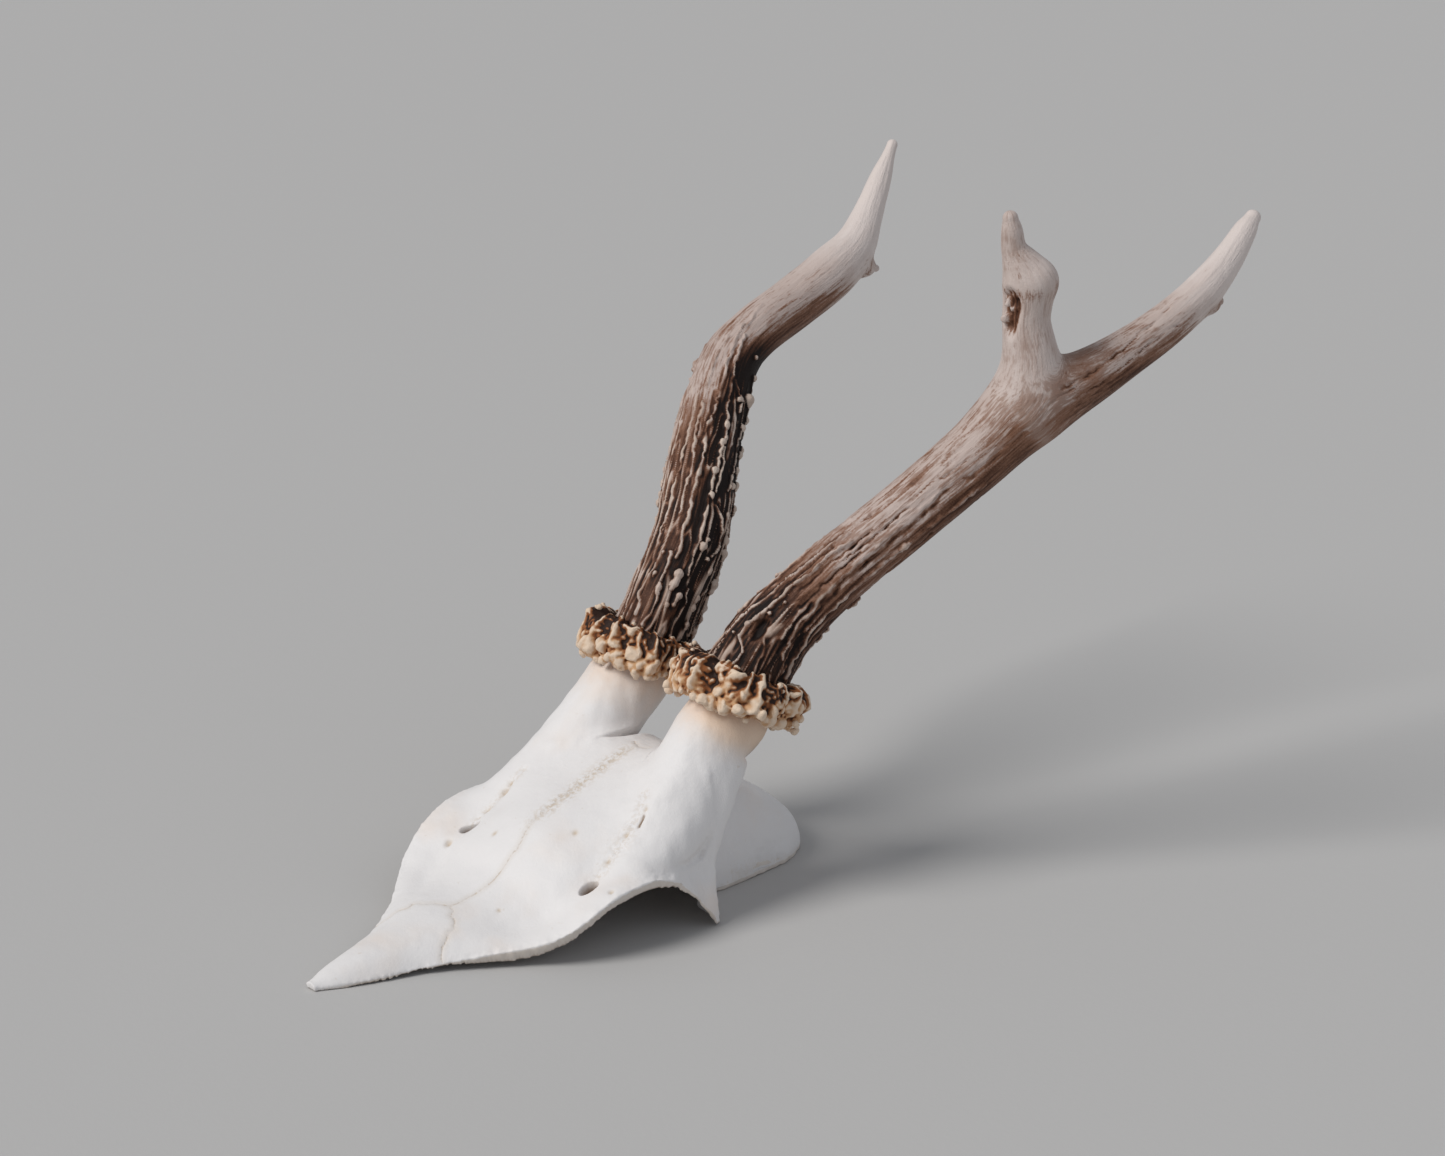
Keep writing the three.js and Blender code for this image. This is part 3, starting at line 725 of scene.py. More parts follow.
def jagged(line, step, swing, seed):
    """The same chain with small random sideways steps, as a suture has."""
    line = np.array(line)
    run = np.concatenate([[0], np.cumsum(np.linalg.norm(np.diff(line, axis=0), axis=1))])
    places = np.linspace(0, run[-1], max(3, round(run[-1] / step)))
    path = np.stack([np.interp(places, run, line[:, k]) for k in range(2)], axis=1)
    ways = unit(np.gradient(path, axis=0))
    random = np.random.default_rng(seed)
    shift = random.uniform(-swing, swing, len(path)) * np.minimum(1, np.arange(len(path)))
    return path + np.column_stack([-ways[:, 1], ways[:, 0]]) * shift[:, None]


# Seams between the bones, in plan.
MIDLINE = jagged((
    (0.0, 0.004), (-0.0006, -0.020), (0.0, -0.034), (0.0019, -0.0403), (0.0013, -0.0473),
    (0.0011, -0.0545), (0.0002, -0.061), (0.0, -0.0635)), 0.0022, 0.0004, 1)
INTERNASAL = jagged((
    (0.0, -0.0635), (0.0009, -0.068), (0.0002, -0.074), (0.0006, -0.090), (0.0, -0.104),
), 0.0040, 0.0003, 2)
LEFT_NASAL_SEAM = jagged((
    (0.0, -0.0635), (0.0034, -0.0661), (0.0091, -0.069), (0.0122, -0.076), (0.0141, -0.079),
    (0.0165, -0.0800)), 0.0014, 0.0008, 3)
RIGHT_NASAL_SEAM = jagged((
    (0.0, -0.0635), (-0.0036, -0.0665), (-0.0088, -0.0705), (-0.0120, -0.0765),
    (-0.0145, -0.0800), (-0.0165, -0.0810)), 0.0014, 0.0008, 5)
CORONAL = jagged((
    (-0.026, 0.0150), (-0.016, 0.0115), (-0.006, 0.0080), (0.0, 0.0068), (0.006, 0.0080),
    (0.016, 0.0115), (0.026, 0.0150)), 0.0013, 0.0009, 6)
# The grooves that run from the nerve holes up to the stalks.
LEFT_GROOVE = (
    (0.0284, -0.0365), (0.0288, -0.030), (0.0278, -0.0233), (0.0265, -0.0170), (0.0240, -0.0115),
)
RIGHT_GROOVE = (
    (-0.0253, -0.0376), (-0.0255, -0.0335), (-0.0242, -0.0300), (-0.0238, -0.0262), (-0.0239, -0.0225),
    (-0.0235, -0.0190),
)
SLIT = ((0.0290, -0.0182), (0.0283, -0.0158))
# Nerve holes: X, Y, half length, half width, turn in plan, depth as a share.
NERVE_HOLES = (
    (0.0290, -0.0370, 0.0028, 0.0021, math.radians(70), 1.0),
    (-0.0248, -0.0380, 0.0032, 0.0017, math.radians(28), 0.9),
)
# X, Y, radius, depth.
SMALL_PITS = (
    (0.0377, -0.0358, 0.0007, 0.0008), (-0.0270, -0.0442, 0.0009, 0.0012),
    (0.0139, -0.0292, 0.0008, 0.0003), (-0.0238, -0.0255, 0.0012, 0.0013),
    (-0.0242, -0.0230, 0.0007, 0.0007), (-0.0246, -0.0312, 0.0008, 0.0005),
    (0.0280, -0.0290, 0.0007, 0.0005), (0.0272, -0.0215, 0.0007, 0.0006),
    (0.0276, -0.0143, 0.0005, 0.0010), (0.0120, -0.0560, 0.0006, 0.0003),
    (-0.0100, -0.0400, 0.0007, 0.0002),
)
# Lump size, seed and strength of the bone's relief.
PORES = ((0.0009, 21, 0.6), (0.0020, 22, 0.4))
BAND_WANDER = (0.004, 23, 0.0008)
CHIPS = ((0.0024, 31, 0.6), (0.0009, 32, 0.4))
SWELL = ((0.012, 33, 0.00038), (0.0050, 34, 0.00014))
CHIP_DEPTH = 0.00035
# Y ranges in which the porous band along the midline starts and ends.
BAND_START, BAND_END = (-0.040, -0.026), (0.001, 0.008)
HOLE_WAY = (0.0, 0.45, -0.9)       # the nerve holes run down and back
HOLE_HEIGHT = 0.014                # the faces around them lie above this


def carve_cap(points, normals, settings):
    """Presses sutures, holes, grooves and pits into the bone. Also gives their masks; the hollow mask is
    painted shade inside the nerve holes and the slit.
    """
    x, y, _ = points.T
    facing = smooth(0.15, 0.5, normals[:, 2])
    roof = points[:, 2] < top_height(x, y) + 0.0012
    seam = nearest_line(x, y, (MIDLINE, LEFT_NASAL_SEAM, RIGHT_NASAL_SEAM, CORONAL))
    seam = np.where((facing > 0) & roof, seam, 1.0)
    faint = np.where(facing > 0, line_distance(x, y, INTERNASAL), 1.0)
    down = 0.4 * settings.suture_depth * bell(faint, 0.0006) * facing
    down += settings.suture_depth * bell(seam, 0.00042) * facing
    # The broad porous band along the back half of the midline, and a rough lip on the coronal one.
    band = bell(np.abs(x + 0.0004 + cloudy(points, BAND_WANDER)), 0.0027)
    band = band * smooth(*BAND_START, y) * (1 - smooth(*BAND_END, y))
    seam = seam + band * 0.0004
    lip = bell(line_distance(x, y, CORONAL), 0.0022) * roof
    rough = cloudy(points, *PORES)
    down += (band * 0.00022 * (0.6 + rough) + lip * 0.00022 * rough) * facing
    groove = bell(nearest_line(x, y, (LEFT_GROOVE, RIGHT_GROOVE)), 0.0019)
    down += groove * (0.00045 + 0.00035 * rough) * facing
    hollow, pit, drift = np.zeros(len(x)), np.zeros(len(x)), np.zeros((len(x), 3))
    for px, py, length, width, turn, share in NERVE_HOLES:
        dx, dy = x - px, y - py
        u = (dx * math.cos(turn) + dy * math.sin(turn)) / length
        v = (-dx * math.sin(turn) + dy * math.cos(turn)) / width
        reach = np.hypot(u, v)
        deep = (1 - smooth(0.60, 1.12, reach)) * facing
        drift += np.outer(deep * settings.hole_depth * share, HOLE_WAY)
        down += bell(reach, 1.7) * facing * 0.00045
        # Painted shade inside the hole goes into the hollow mask.
        hollow = np.maximum(hollow, deep)
    for px, py, radius, depth in SMALL_PITS:
        dent = bell(np.hypot(x - px, y - py), radius) * facing
        down += dent * depth
        pit = np.maximum(pit, dent)
    slit = bell(line_distance(x, y, SLIT), 0.0005) * facing
    down += slit * 0.0011
    patch = bell(np.hypot((x - 0.0278) / 0.0034, (y + 0.0225) / 0.0065), 1.0) * facing
    down += patch * (0.00012 + 0.00030 * rough)
    porous = np.maximum(band, np.maximum(0.5 * groove, 0.45 * patch)) * facing
    masks = {"seam": seam, "band": porous, "hollow": np.maximum(hollow, slit), "pit": pit}
    return points - normals * down[:, None] + drift, masks


def rim_share(points):
    """1 on the cap's side edges, 0 away from them."""
    x, y, z = points.T
    across = np.abs(x) / half_breadth(x, y)
    return smooth(0.90, 0.995, across) * (z < top_height(x, y) + 0.001)


def bone_material(settings):
    material, start = new_material("bleached_bone")
    cloud = start.speckle(38, 3, 0.55)
    blotch = start.speckle(110, 4)
    grain = start.speckle(900, 4, 0.65)
    fine = start.speckle(2600, 2, 0.5)
    wander = (start.speckle(1400, 2, 0.5) - 0.5) * 0.0009
    seam_line = 1 - (start.attribute("seam") + wander).between(0.00004, 0.00040)
    broken = seam_line * start.speckle(240, 2, 0.5).between(0.34, 0.58)
    beside_seam = 1 - start.attribute("seam").between(0.0002, 0.0024)
    porous = start.attribute("band") * grain.between(0.44, 0.60)
    cut = (start.attribute("cut") + (grain - 0.5) * 0.6).between(0.35, 0.85)
    colour = start.painted(
        settings.bone,
        (settings.warm, (start.attribute("warm") + (blotch - 0.5) * 0.5).between(0.10, 1.0)),
        (settings.warm, cloud.between(0.52, 0.80) * 0.30),
        (settings.seam, start.speckle(420, 2, 0.5).between(0.70, 0.80) * 0.25),
        (settings.seam, beside_seam * 0.16),
        (settings.seam, porous * 0.62),
        (settings.seam, broken * 0.55),
        (settings.seam, start.attribute("pit") * 0.85),
        (settings.seam, cut * 0.42),
        # Painted shade: the hollow colour inside the holes and under the rims.
        (settings.hollow, start.attribute("hollow").between(0.12, 0.85)))
    height = grain * 0.5 + fine * 0.25 + blotch * 0.9 - porous * 0.5 - broken * 0.7
    rough = 0.58 + (blotch - 0.5) * 0.16 + porous * 0.1
    surface(start, colour, rough, start.bump(height, 0.42), {"IOR": 1.5})
    return material


def make_skull_cap(settings):
    stalks = [tube(spine) for spine in STALKS]
    cap = fused([cap_block(), *stalks], "skull_cap", settings.voxel, 0)
    move_points(cap, settle_cap(points_of(cap), normals_of(cap)))
    apply_modifier(cap, "SMOOTH", factor=0.5, iterations=6)
    downward = field_of(cap.data.polygons, "normal")[:, 2] < UNDERSIDE
    edit_faces(cap, downward, bpy.ops.mesh.decimate, ratio=UNDERSIDE_KEPT)
    x, y, z = field_of(cap.data.polygons, "center").T
    near = np.zeros(len(x), bool)
    for px, py, length, *_ in NERVE_HOLES:
        near |= (np.hypot(x - px, y - py) < length * 1.5) & (z > HOLE_HEIGHT)
    edit_faces(cap, near, bpy.ops.mesh.subdivide, number_cuts=2, smoothness=0)
    points, normals = points_of(cap), normals_of(cap)
    rim = rim_share(points)
    stalk = smooth(0.0005, 0.0030, points[:, 2] - top_height(points[:, 0], points[:, 1]))
    swell = cloudy(points, *SWELL)
    swell += noise(points * (1, 1, 0.3), 0.0022, 35) * lerp(0.00006, 0.00012, stalk)
    swell += noise(points * (1, 1, 0.5), 0.0044, 36) * 0.00022 * stalk
    points = points + normals * (rim * cloudy(points, *CHIPS) * CHIP_DEPTH + swell)[:, None]
    points, masks = carve_cap(points, normals, settings)
    points[:, 2] = np.maximum(points[:, 2], 0.0)
    move_points(cap, points)
    outer = smooth(0.016, 0.036, points @ BACK_LEFT)
    masks["warm"] = smooth(-0.026, -0.005, above_burrs(points)) * lerp(0.55, 1.25, outer)
    masks["cut"] = rim * smooth(0.35, -0.25, normals[:, 2])
    # Painted shade under the rims: faces that look down get part of the hollow colour.
    masks["hollow"] = np.maximum(masks["hollow"], 0.55 * smooth(-0.2, -0.8, normals[:, 2]))
    dress(cap, bone_material(settings), masks)
    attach(cap, "root")
    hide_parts("nasal_bones", "frontal_bone", "braincase_roof", "pedicle_left", "pedicle_right")


# ------------------------------------------------------------------ the burrs
# The outline of a burr's section: reach as a share of its radius, height as a share of its own.
BURR_OUTLINE = (
    (0.00, 0.62, -0.52), (0.14, 0.86, -0.50), (0.28, 0.97, -0.32), (0.44, 1.01, -0.04),
    (0.58, 1.00, 0.22), (0.70, 0.95, 0.50), (0.80, 0.86, 0.68), (0.90, 0.72, 0.70), (1.00, 0.56, 0.64),
)
BURR_RELIEF = 0.0021               # how far the plain core lies inside that outline
RIDGE_ENDS = (0.20, 0.58)          # share of the outline where the downward ridges end
# In millimetres: spans from which the relief's sizes are drawn, and the cells it is scattered in.
RIDGE_HALF, RIDGE_RISE = (0.75, 1.45), (1.2, 2.5)
NODULE_CELL, NODULE_SIZE, BEAD_CELL, BEAD_SIZE = 4.1, (1.0, 2.8), 1.6, (0.45, 0.95)
LIP_PLACE, LIP_WIDTH, LIP_HEIGHT = 0.76, 0.046, (0.3, 3.1)
LOBES = (0.965, 0.05, 0.04)        # the outline from above: mean, and swing of each wave
UPPER_TILT, TILT_TURN = 0.20, math.radians(200)   # the upper half is taller on this side
GOLDEN = 0.618034                  # share of a turn from one hanging nodule to the next
# Spans of a hanging nodule's share of the outline and of its radius, low down and on the lip.
LOW_NODULES, LIP_NODULES = ((0.10, 0.34), (0.0009, 0.0018)), ((0.70, 0.86), (0.0006, 0.0010))
# The solid middle: heights as a share of the burr's, and radii as a share of its radius.
CORE_ROWS = (
    (-0.47, 0.62), (-0.38, 0.76), (-0.15, 0.86), (0.15, 0.88), (0.40, 0.80), (0.52, 0.62),
    (0.57, 0.40), (0.60, 0.15), (0.61, 0.02),
)


class BurrShape:
    """Places on one burr, by turn about its axis, reach out from it and height along it."""

    def __init__(self, burr):
        self.centre = np.array(burr["centre"])
        self.radius = burr["radius"]
        self.seed = burr["seed"]
        self.shares = np.linspace(0, 1, 160)
        self.outline = np.column_stack([
            station_values(BURR_OUTLINE, 1, self.shares) * self.radius,
            station_values(BURR_OUTLINE, 2, self.shares) * BURR_HEIGHT,
        ])
        ahead = unit(np.gradient(self.outline, axis=0))
        self.outward = np.column_stack([ahead[:, 1], -ahead[:, 0]])
        self.outline -= self.outward * BURR_RELIEF

    def lobes(self, turn):
        """The wavy outline from above, as a share of the radius."""
        first = np.sin(5 * turn + self.seed)
        second = np.sin(9 * turn + 2.3 * self.seed)
        mean, wide, slim = LOBES
        return mean + wide * first + slim * second

    def tilt(self, turn):
        """How much taller the upper half grows on the animal's right front."""
        return UPPER_TILT * np.cos(turn - TILT_TURN)

    def read(self, points):
        """Turn, share of the way up the core's outline, height off it and way out of it."""
        offset = points - self.centre
        height = offset @ BURR_UP
        turn = np.arctan2(offset @ BURR_BACK, offset[:, 0])
        level = offset - np.outer(height, BURR_UP)
        reach = np.linalg.norm(level, axis=1) / self.lobes(turn)
        flat = np.column_stack([reach, height - self.tilt(turn) * np.maximum(height, 0)])
        square = (flat**2).sum(1)[:, None] - 2 * flat @ self.outline.T + (self.outline**2).sum(1)
        best = square.argmin(1)
        gap = ((flat - self.outline[best]) * self.outward[best]).sum(1)
        way = unit(level) * self.outward[best, :1] + BURR_UP * self.outward[best, 1:]
        return turn, self.shares[best], gap, way, reach

    def at(self, turn, share, gap):
        """Places at a height off the core's outline."""
        flat = np.column_stack([
            np.interp(share, self.shares, self.outline[:, k] + gap * self.outward[:, k])
            for k in range(2)])
        across = np.outer(np.cos(turn), (1.0, 0.0, 0.0)) + np.outer(np.sin(turn), BURR_BACK)
        height = flat[:, 1] / (1 - self.tilt(turn) * (flat[:, 1] > 0))
        across = across * (flat[:, :1] * self.lobes(turn)[:, None])
        return self.centre + across + np.outer(height, BURR_UP)


def burr_ridges(shape, turn, share, wander, folds):
    """Height of the knotted ridges that run down the outside and end in round feet."""
    random = np.random.default_rng(shape.seed)
    ridges = np.zeros(len(turn))
    for i in range(folds):
        angle = (i + random.uniform(-0.42, 0.42)) / folds * math.tau
        slant, end = random.uniform(-0.35, 0.35), random.uniform(*RIDGE_ENDS)
        half, rise = random.uniform(*RIDGE_HALF) * MM, random.uniform(*RIDGE_RISE) * MM
        away = np.angle(np.exp(1j * (turn - angle - slant * (0.85 - share))))
        away = away * shape.radius + wander
        knots = 1 + 0.3 * np.sin(share * random.uniform(18, 34) + i)
        wide = half * lerp(1.5, 1.0, smooth(end, end + 0.25, share)) * knots
        ridge = rise * bell(away, wide) * smooth(end - 0.16, end + 0.04, share)
        foot = np.hypot(away, (share - end) * 17 * MM)
        ridges = np.maximum(ridges, np.maximum(ridge, 1.15 * rise * bell(foot, half * 1.35)))
    return ridges


def burr_lumps(points, cell, sizes, seed):
    """Height of round lumps of many sizes, scattered one to a cell."""
    near, number = scattered(points, cell * MM, seed)
    size = lerp(*sizes, (number + 1) / 2) * MM
    return np.sqrt(np.maximum(size**2 - near**2, 0))


def burr_lip(points, shape, turn, share):
    """Height of the wavy upper lip."""
    seed = shape.seed
    place = LIP_PLACE + 0.045 * np.sin(6 * turn + seed) + 0.03 * np.sin(11 * turn + 2 * seed)
    place = place + noise(points, 2.4 * MM, seed + 31) * 0.03
    lift = 1.9 + 1.0 * np.sin(5 * turn + 2.9 * seed) + 0.8 * np.sin(11 * turn + seed)
    return np.clip(lift, *LIP_HEIGHT) * MM * bell(share - place, LIP_WIDTH)


def burr_relief(points, shape, turn, share, settings):
    """Height of ridges, nodules and upper lip over the plain core."""
    seed = shape.seed
    wander = cloudy(points, (4.5 * MM, seed, 1.3 * MM), (1.9 * MM, seed + 1, 0.5 * MM))
    ridges = burr_ridges(shape, turn, share, wander, settings.folds)
    warp = np.stack([
        cloudy(points, (2.5 * MM, seed + 5 + k, 0.95), (1.1 * MM, seed + 8 + k, 0.35))
        for k in range(3)], axis=1)
    warped = points + warp * MM
    nodules = burr_lumps(warped, NODULE_CELL, NODULE_SIZE, seed + 10) * 1.10
    beads = burr_lumps(warped, BEAD_CELL, BEAD_SIZE, seed + 20)
    patch = noise(points, 6 * MM, seed + 30)
    low = (1 - smooth(0.36, 0.66, share + 0.12 * patch)) * smooth(0.02, 0.14, share)
    high = smooth(0.0, 0.5, patch) * 0.8
    lip = burr_lip(points, shape, turn, share)
    parts = (ridges, nodules * np.maximum(low, high), lip, beads * 0.9 * lerp(0.6, 1.0, low))
    joined = sum((part / MM) ** 4 for part in parts) ** 0.25 * MM
    inside = smooth(0.88, 1.0, share)
    rough = cloudy(points, (1.5 * MM, seed + 32, 0.26), (0.8 * MM, seed + 33, 0.16))
    return joined * (1 - 0.5 * inside) + beads * 0.45 + rough * MM


def hanging_nodules(shape, settings):
    """Round lumps that stand free of the lower edge and of the lip."""
    random = np.random.default_rng(shape.seed + 50)
    count = settings.nodules
    turn = (np.arange(count) * GOLDEN % 1.0) * math.tau
    low = np.arange(count) % 3 > 0
    share, size = (
        np.where(low, random.uniform(*below, count), random.uniform(*above, count))
        for below, above in zip(LOW_NODULES, LIP_NODULES))
    middles = np.vstack([
        shape.at(turn[i:i + 1], share[i:i + 1], size[i] * random.uniform(0.5, 1.2) + 0.0006)
        for i in range(count)])
    centres, radii = [middles], [size]
    for _ in range(3):
        ways = unit(random.normal(size=(count, 3)))
        centres.append(middles + ways * (size * 0.8)[:, None])
        radii.append(size * random.uniform(0.35, 0.65, count))
    return np.vstack(centres), np.concatenate(radii)


def burr_core(shape):
    """The solid middle of a burr, under its lumps."""
    return tube(Spine([
        (*(shape.centre + BURR_UP * BURR_HEIGHT * height), shape.radius * reach)
        for height, reach in CORE_ROWS]))


def burr_material(settings):
    material, start = new_material("knobbly_burr")
    cloud, grain = start.speckle(150), start.speckle(900, 4)
    fine = start.speckle(3200, 2, 0.5)
    tall = start.attribute("tall")        # millimetres off the plain core
    out = start.attribute("out")          # hollows below nought, most within one either way
    level = start.attribute("level")      # 0 at the lower rim, 1 on top
    mottled = (grain - 0.5) * 0.8 + (cloud - 0.5) * 2.6
    light = tall * 0.5 + out * 0.6 + mottled * 0.6
    # Amber and dark grow up the burr as stain, and in the hollows, where tall and out are low, as painted
    # shade.
    sides = tall * 0.7 + out * 0.45 + mottled * 1.1 - level * 2.30 + 0.98
    depth = tall * 0.8 + out * 0.6 + mottled * 0.35 - level * 2.20 + 0.88
    inner = start.attribute("inner") + mottled * 0.16 - out * 0.12
    worn = (out * 0.9 + tall * 0.45 + mottled * 0.25).between(1.55, 2.45)
    colour = start.painted(
        settings.cream,
        (settings.crest, light.between(0.5, 1.9)),
        (settings.amber_stain_and_shade, 1 - sides.between(-0.12, 0.95)),
        (settings.dark, 1 - depth.between(-0.90, -0.02)),
        (settings.dark, inner.between(0.30, 0.80) * 0.90),
        (settings.crest, worn * 0.95))
    normal = start.bump(grain * 0.8 + fine * 0.3, 0.8)
    rough = 0.60 - worn * 0.12 + (grain - 0.5) * 0.1
    surface(start, colour, rough, normal, {"IOR": 1.5, "Specular IOR Level": 0.28})
    return material


def make_burr(burr, name, node, settings, material):
    shape = BurrShape(burr)
    piece = fused([burr_core(shape)], name, settings.voxel, 0)
    points = points_of(piece)
    turn, share, gap, way, reach = shape.read(points)
    free = smooth(0.48, 0.58, reach / shape.radius)
    relief = burr_relief(points, shape, turn, share, settings)
    move_points(piece, points + way * ((relief - gap) * free)[:, None])
    lumps = balls("nodules", *hanging_nodules(shape, settings))
    piece = fused([piece, lumps], name, settings.voxel, 1)
    points = points_of(piece)
    _, _, gap, _, reach = shape.read(points)
    out = standing_out(piece, 12)
    height = ((points - shape.centre) @ BURR_UP) / BURR_HEIGHT + 0.5
    dress(piece, material, {
        "out": np.clip(out / out.std(), -2.5, 2.5),
        "tall": np.clip(gap / MM, -0.5, 4.0),
        "level": np.clip(height, 0, 1.2),
        "inner": (1 - smooth(0.66, 0.80, reach / shape.radius)) * smooth(0.6, 0.8, height),
    })
    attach(piece, "root")
    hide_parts(node)


# ------------------------------------------------------------------ the antlers
# Strokes drawn along the antlers: height (furrows below nought), half width, then pairs of run
# along the beam and turn around it. Lengths are in millimetres and turns in degrees.
RIGHT_STROKES = (
    (0.6, 0.75, ((105, -96), (95, -91), (76, -88), (55, -90), (38, -98), (30, -100), (20, -91),
         (14, -89), (6, -78))),
    (0.7, 0.65, ((107, -74), (98, -73), (88, -75), (67, -76), (55, -70), (48, -72), (36, -76))),
    (0.9, 0.75, ((113, -66), (103, -50), (93, -46), (84, -51), (65, -57), (55, -54), (48, -59),
         (32, -60), (22, -55))),
    (1.1, 0.75, ((23, -67), (20, -62), (16, -61), (11, -59), (4, -59))),
    (1.1, 0.8, ((110, -46), (103, -38), (96, -31), (79, -30), (64, -27), (57, -27), (50, -32), (36, -33),
         (30, -34), (19, -29))),
    (1.2, 0.6, ((93, -23), (89, -14), (86, -2), (81, -8))),
    (1, 0.6, ((63, -22), (56, -19), (50, -21), (45, -24))),
    (1.3, 0.65, ((41, -20), (38, -6), (34, 2), (31, 5), (27, -2))),
    (0.8, 0.55, ((19, -81), (16, -85), (10, -85))),
    (0.6, 0.7, ((59, -129), (50, -142), (37, -138), (25, -129), (11, -112), (4, -102))),
    (0.9, 0.6, ((16, -20), (13, -14), (10, -15), (4, -17))),
    (0.5, 0.7, ((105, -131), (95, -122), (83, -117), (70, -114), (60, -113))),
    (0.6, 0.8, ((122, -72), (114, -60), (108, -52))), (1, 0.6, ((75, 10), (68, 4), (58, 8), (48, 2))),
    (1, 0.55, ((100, 20), (90, 30), (78, 34), (66, 40), (50, 36), (36, 44), (20, 40))),
)
LEFT_STROKES = (
    (-1, 1.2, ((11, 2), (18, -2), (26, -12), (36, -17), (41, -20), (51, -18))),
    (-0.45, 1.7, ((49, -18), (61, -21), (71, -25), (81, -27), (86, -28), (90, -20), (99, -19))),
    (-0.8, 1, ((6, 4), (15, 16), (25, 24), (30, 24), (35, 38), (46, 46), (53, 42), (59, 30), (70, 26))),
    (0.8, 0.85, ((8, 13), (19, 12), (24, 4), (29, 1), (39, 3), (53, 4), (62, 0), (75, 3), (91, 9))),
    (0.5, 1.1, ((13, -12), (20, -20), (24, -24), (34, -26), (45, -27), (58, -31), (81, -34))),
    (0.8, 0.75, ((10, -140), (18, -122), (21, -127), (29, -116), (39, -118), (55, -105))),
    (-0.9, 0.55, ((12, -116), (22, -104), (30, -95), (35, -97), (48, -91), (60, -82))),
    (0.8, 0.55, ((10, -112), (16, -105), (23, -94), (32, -92), (41, -88), (52, -78))),
    (-1, 0.55, ((10, -98), (17, -92), (25, -82), (37, -85), (46, -78))),
    (1.2, 0.75, ((12, -82), (15, -87), (21, -77), (26, -74), (35, -71), (51, -67))),
    (0.7, 0.6, ((18, -33), (25, -34), (29, -37))), (-0.8, 0.55, ((14, -24), (22, -26), (31, -33))),
    (-0.8, 0.55, ((28, -42), (37, -40), (42, -38), (51, -41))),
    (-0.6, 0.5, ((46, -48), (55, -45), (65, -47), (70, -46))),
    (-0.6, 0.5, ((31, -60), (41, -59), (50, -58), (58, -60))),
    (0.7, 0.6, ((12, -82), (9, -70), (5, -69))), (0.7, 0.6, ((15, -50), (12, -44), (5, -38))),
    (-0.3, 0.45, ((82, -50), (86, -47), (91, -45))),
    (-0.3, 0.5, ((102, -21), (107, -16), (112, -12), (118, -13))),
    (-0.4, 0.5, ((116, -23), (125, -24), (135, -33), (146, -46))),
    (-0.4, 0.5, ((131, -4), (142, -10), (147, -15), (159, -21))),
    (-0.5, 0.6, ((124, -31), (132, -35), (142, -40), (149, -47), (158, -61), (169, -67))),
    (-0.3, 0.45, ((131, -72), (142, -75), (149, -78))), (-0.5, 0.5, ((152, -17), (158, -24), (168, -20))),
)
# Pearls, in the same units: run, turn, radius.
RIGHT_PEARLS = (
    (18.3, -41, 1.9), (15.8, -41, 1.6), (13.8, -28, 1.4), (21.6, 31, 2.3), (26.3, 43, 1.3),
    (28.3, -23, 1.6), (25.9, -8, 1.1), (23.6, 6, 1.1), (30.6, -18, 1), (22.7, -77, 0.9), (15.1, 5, 1.1),
    (34.9, 22, 1.5), (72.2, -27, 1.5), (64.8, -28, 1.5), (86.1, -11, 1.3), (106.2, 0, 1.2),
    (11.2, -38, 0.9), (11.7, -30, 1), (43.6, -31, 1.3), (52.8, -32, 1.3), (16.6, -76, 1.1),
    (13.5, -60, 1.4), (89.7, 17, 2.4), (77.4, 13, 1.6), (67.2, 23, 1.6), (60.3, 20, 1.5), (51.8, 11, 1.5),
    (40.8, 6, 1.2), (31.3, 27, 1.9), (24.2, 43, 1.6), (14.8, 45, 1.6), (11.3, 45, 1.5), (12.9, 4, 1.2),
    (8.7, 3, 1.2), (56, 36, 1.7), (46, 32, 1.6), (72, 40, 1.6), (84, 36, 1.4), (99, 22, 1.4),
    (7, 30, 1.5),
)
LEFT_PEARLS = (
    (21.3, -68, 1.1), (26.1, -63, 1), (20.6, -77, 1), (15.8, -107, 1), (11.9, -98, 1.1),
    (15.9, -136, 1.1), (62.4, 0, 1.5), (28.4, -68, 0.8), (18, -19, 0.9), (24.4, -65, 0.8),
    (17.9, -80, 0.9), (15, -84, 0.9), (30, -120, 1), (22.5, -128, 1), (42, 60, 1.1), (25, 58, 1.2),
)
SHADED_LOWER_FLANK = np.array((0.58, 0.285, -0.763))   # the lower flank of the beams, darkened with painted shade
UNDER_SIDE = np.array((0.30, 0.45, -0.84))      # the flecked underside of the beams
# For each antler: the turns between which its strokes are drawn, how many pearls grow besides and
# up to which run, the height and fading of its ridges, how coarse its faces are, where the stain
# ends on either side and how strong it is there and at the foot, where the bare tip starts, and
# where the worn bands start and how much they leave of the crests.
RIGHT_LOOK = {
    "seed": 60, "forked": False, "strokes": RIGHT_STROKES, "drawn": (-150, 60),
    "pearls": RIGHT_PEARLS, "more_pearls": 80, "pearl_reach": 0.100,
    "ridge": 1.0, "ridge_span": (0.070, 0.125), "ridge_end": 0.16, "coarse": 1.0,
    "stain_span": ((0.044, 0.108), (0.092, 0.124)), "stain_side": (0.70, 1.10), "foot": 1.0,
    "tip": (0.60, 0.92), "worn_span": (0.085, 0.110), "worn_crest": 0.8,
}
LEFT_LOOK = {
    "seed": 80, "forked": True, "strokes": LEFT_STROKES, "drawn": (-150, 62),
    "pearls": LEFT_PEARLS, "more_pearls": 34, "pearl_reach": 0.050,
    "ridge": 0.70, "ridge_span": (0.040, 0.120), "ridge_end": 0.32, "coarse": 1.06,
    "stain_span": ((0.008, 0.064), (0.010, 0.076)), "stain_side": (0.98, 0.98), "foot": 0.9,
    "tip": (0.70, 0.97), "worn_span": (0.022, 0.046), "worn_crest": 0.5,
}
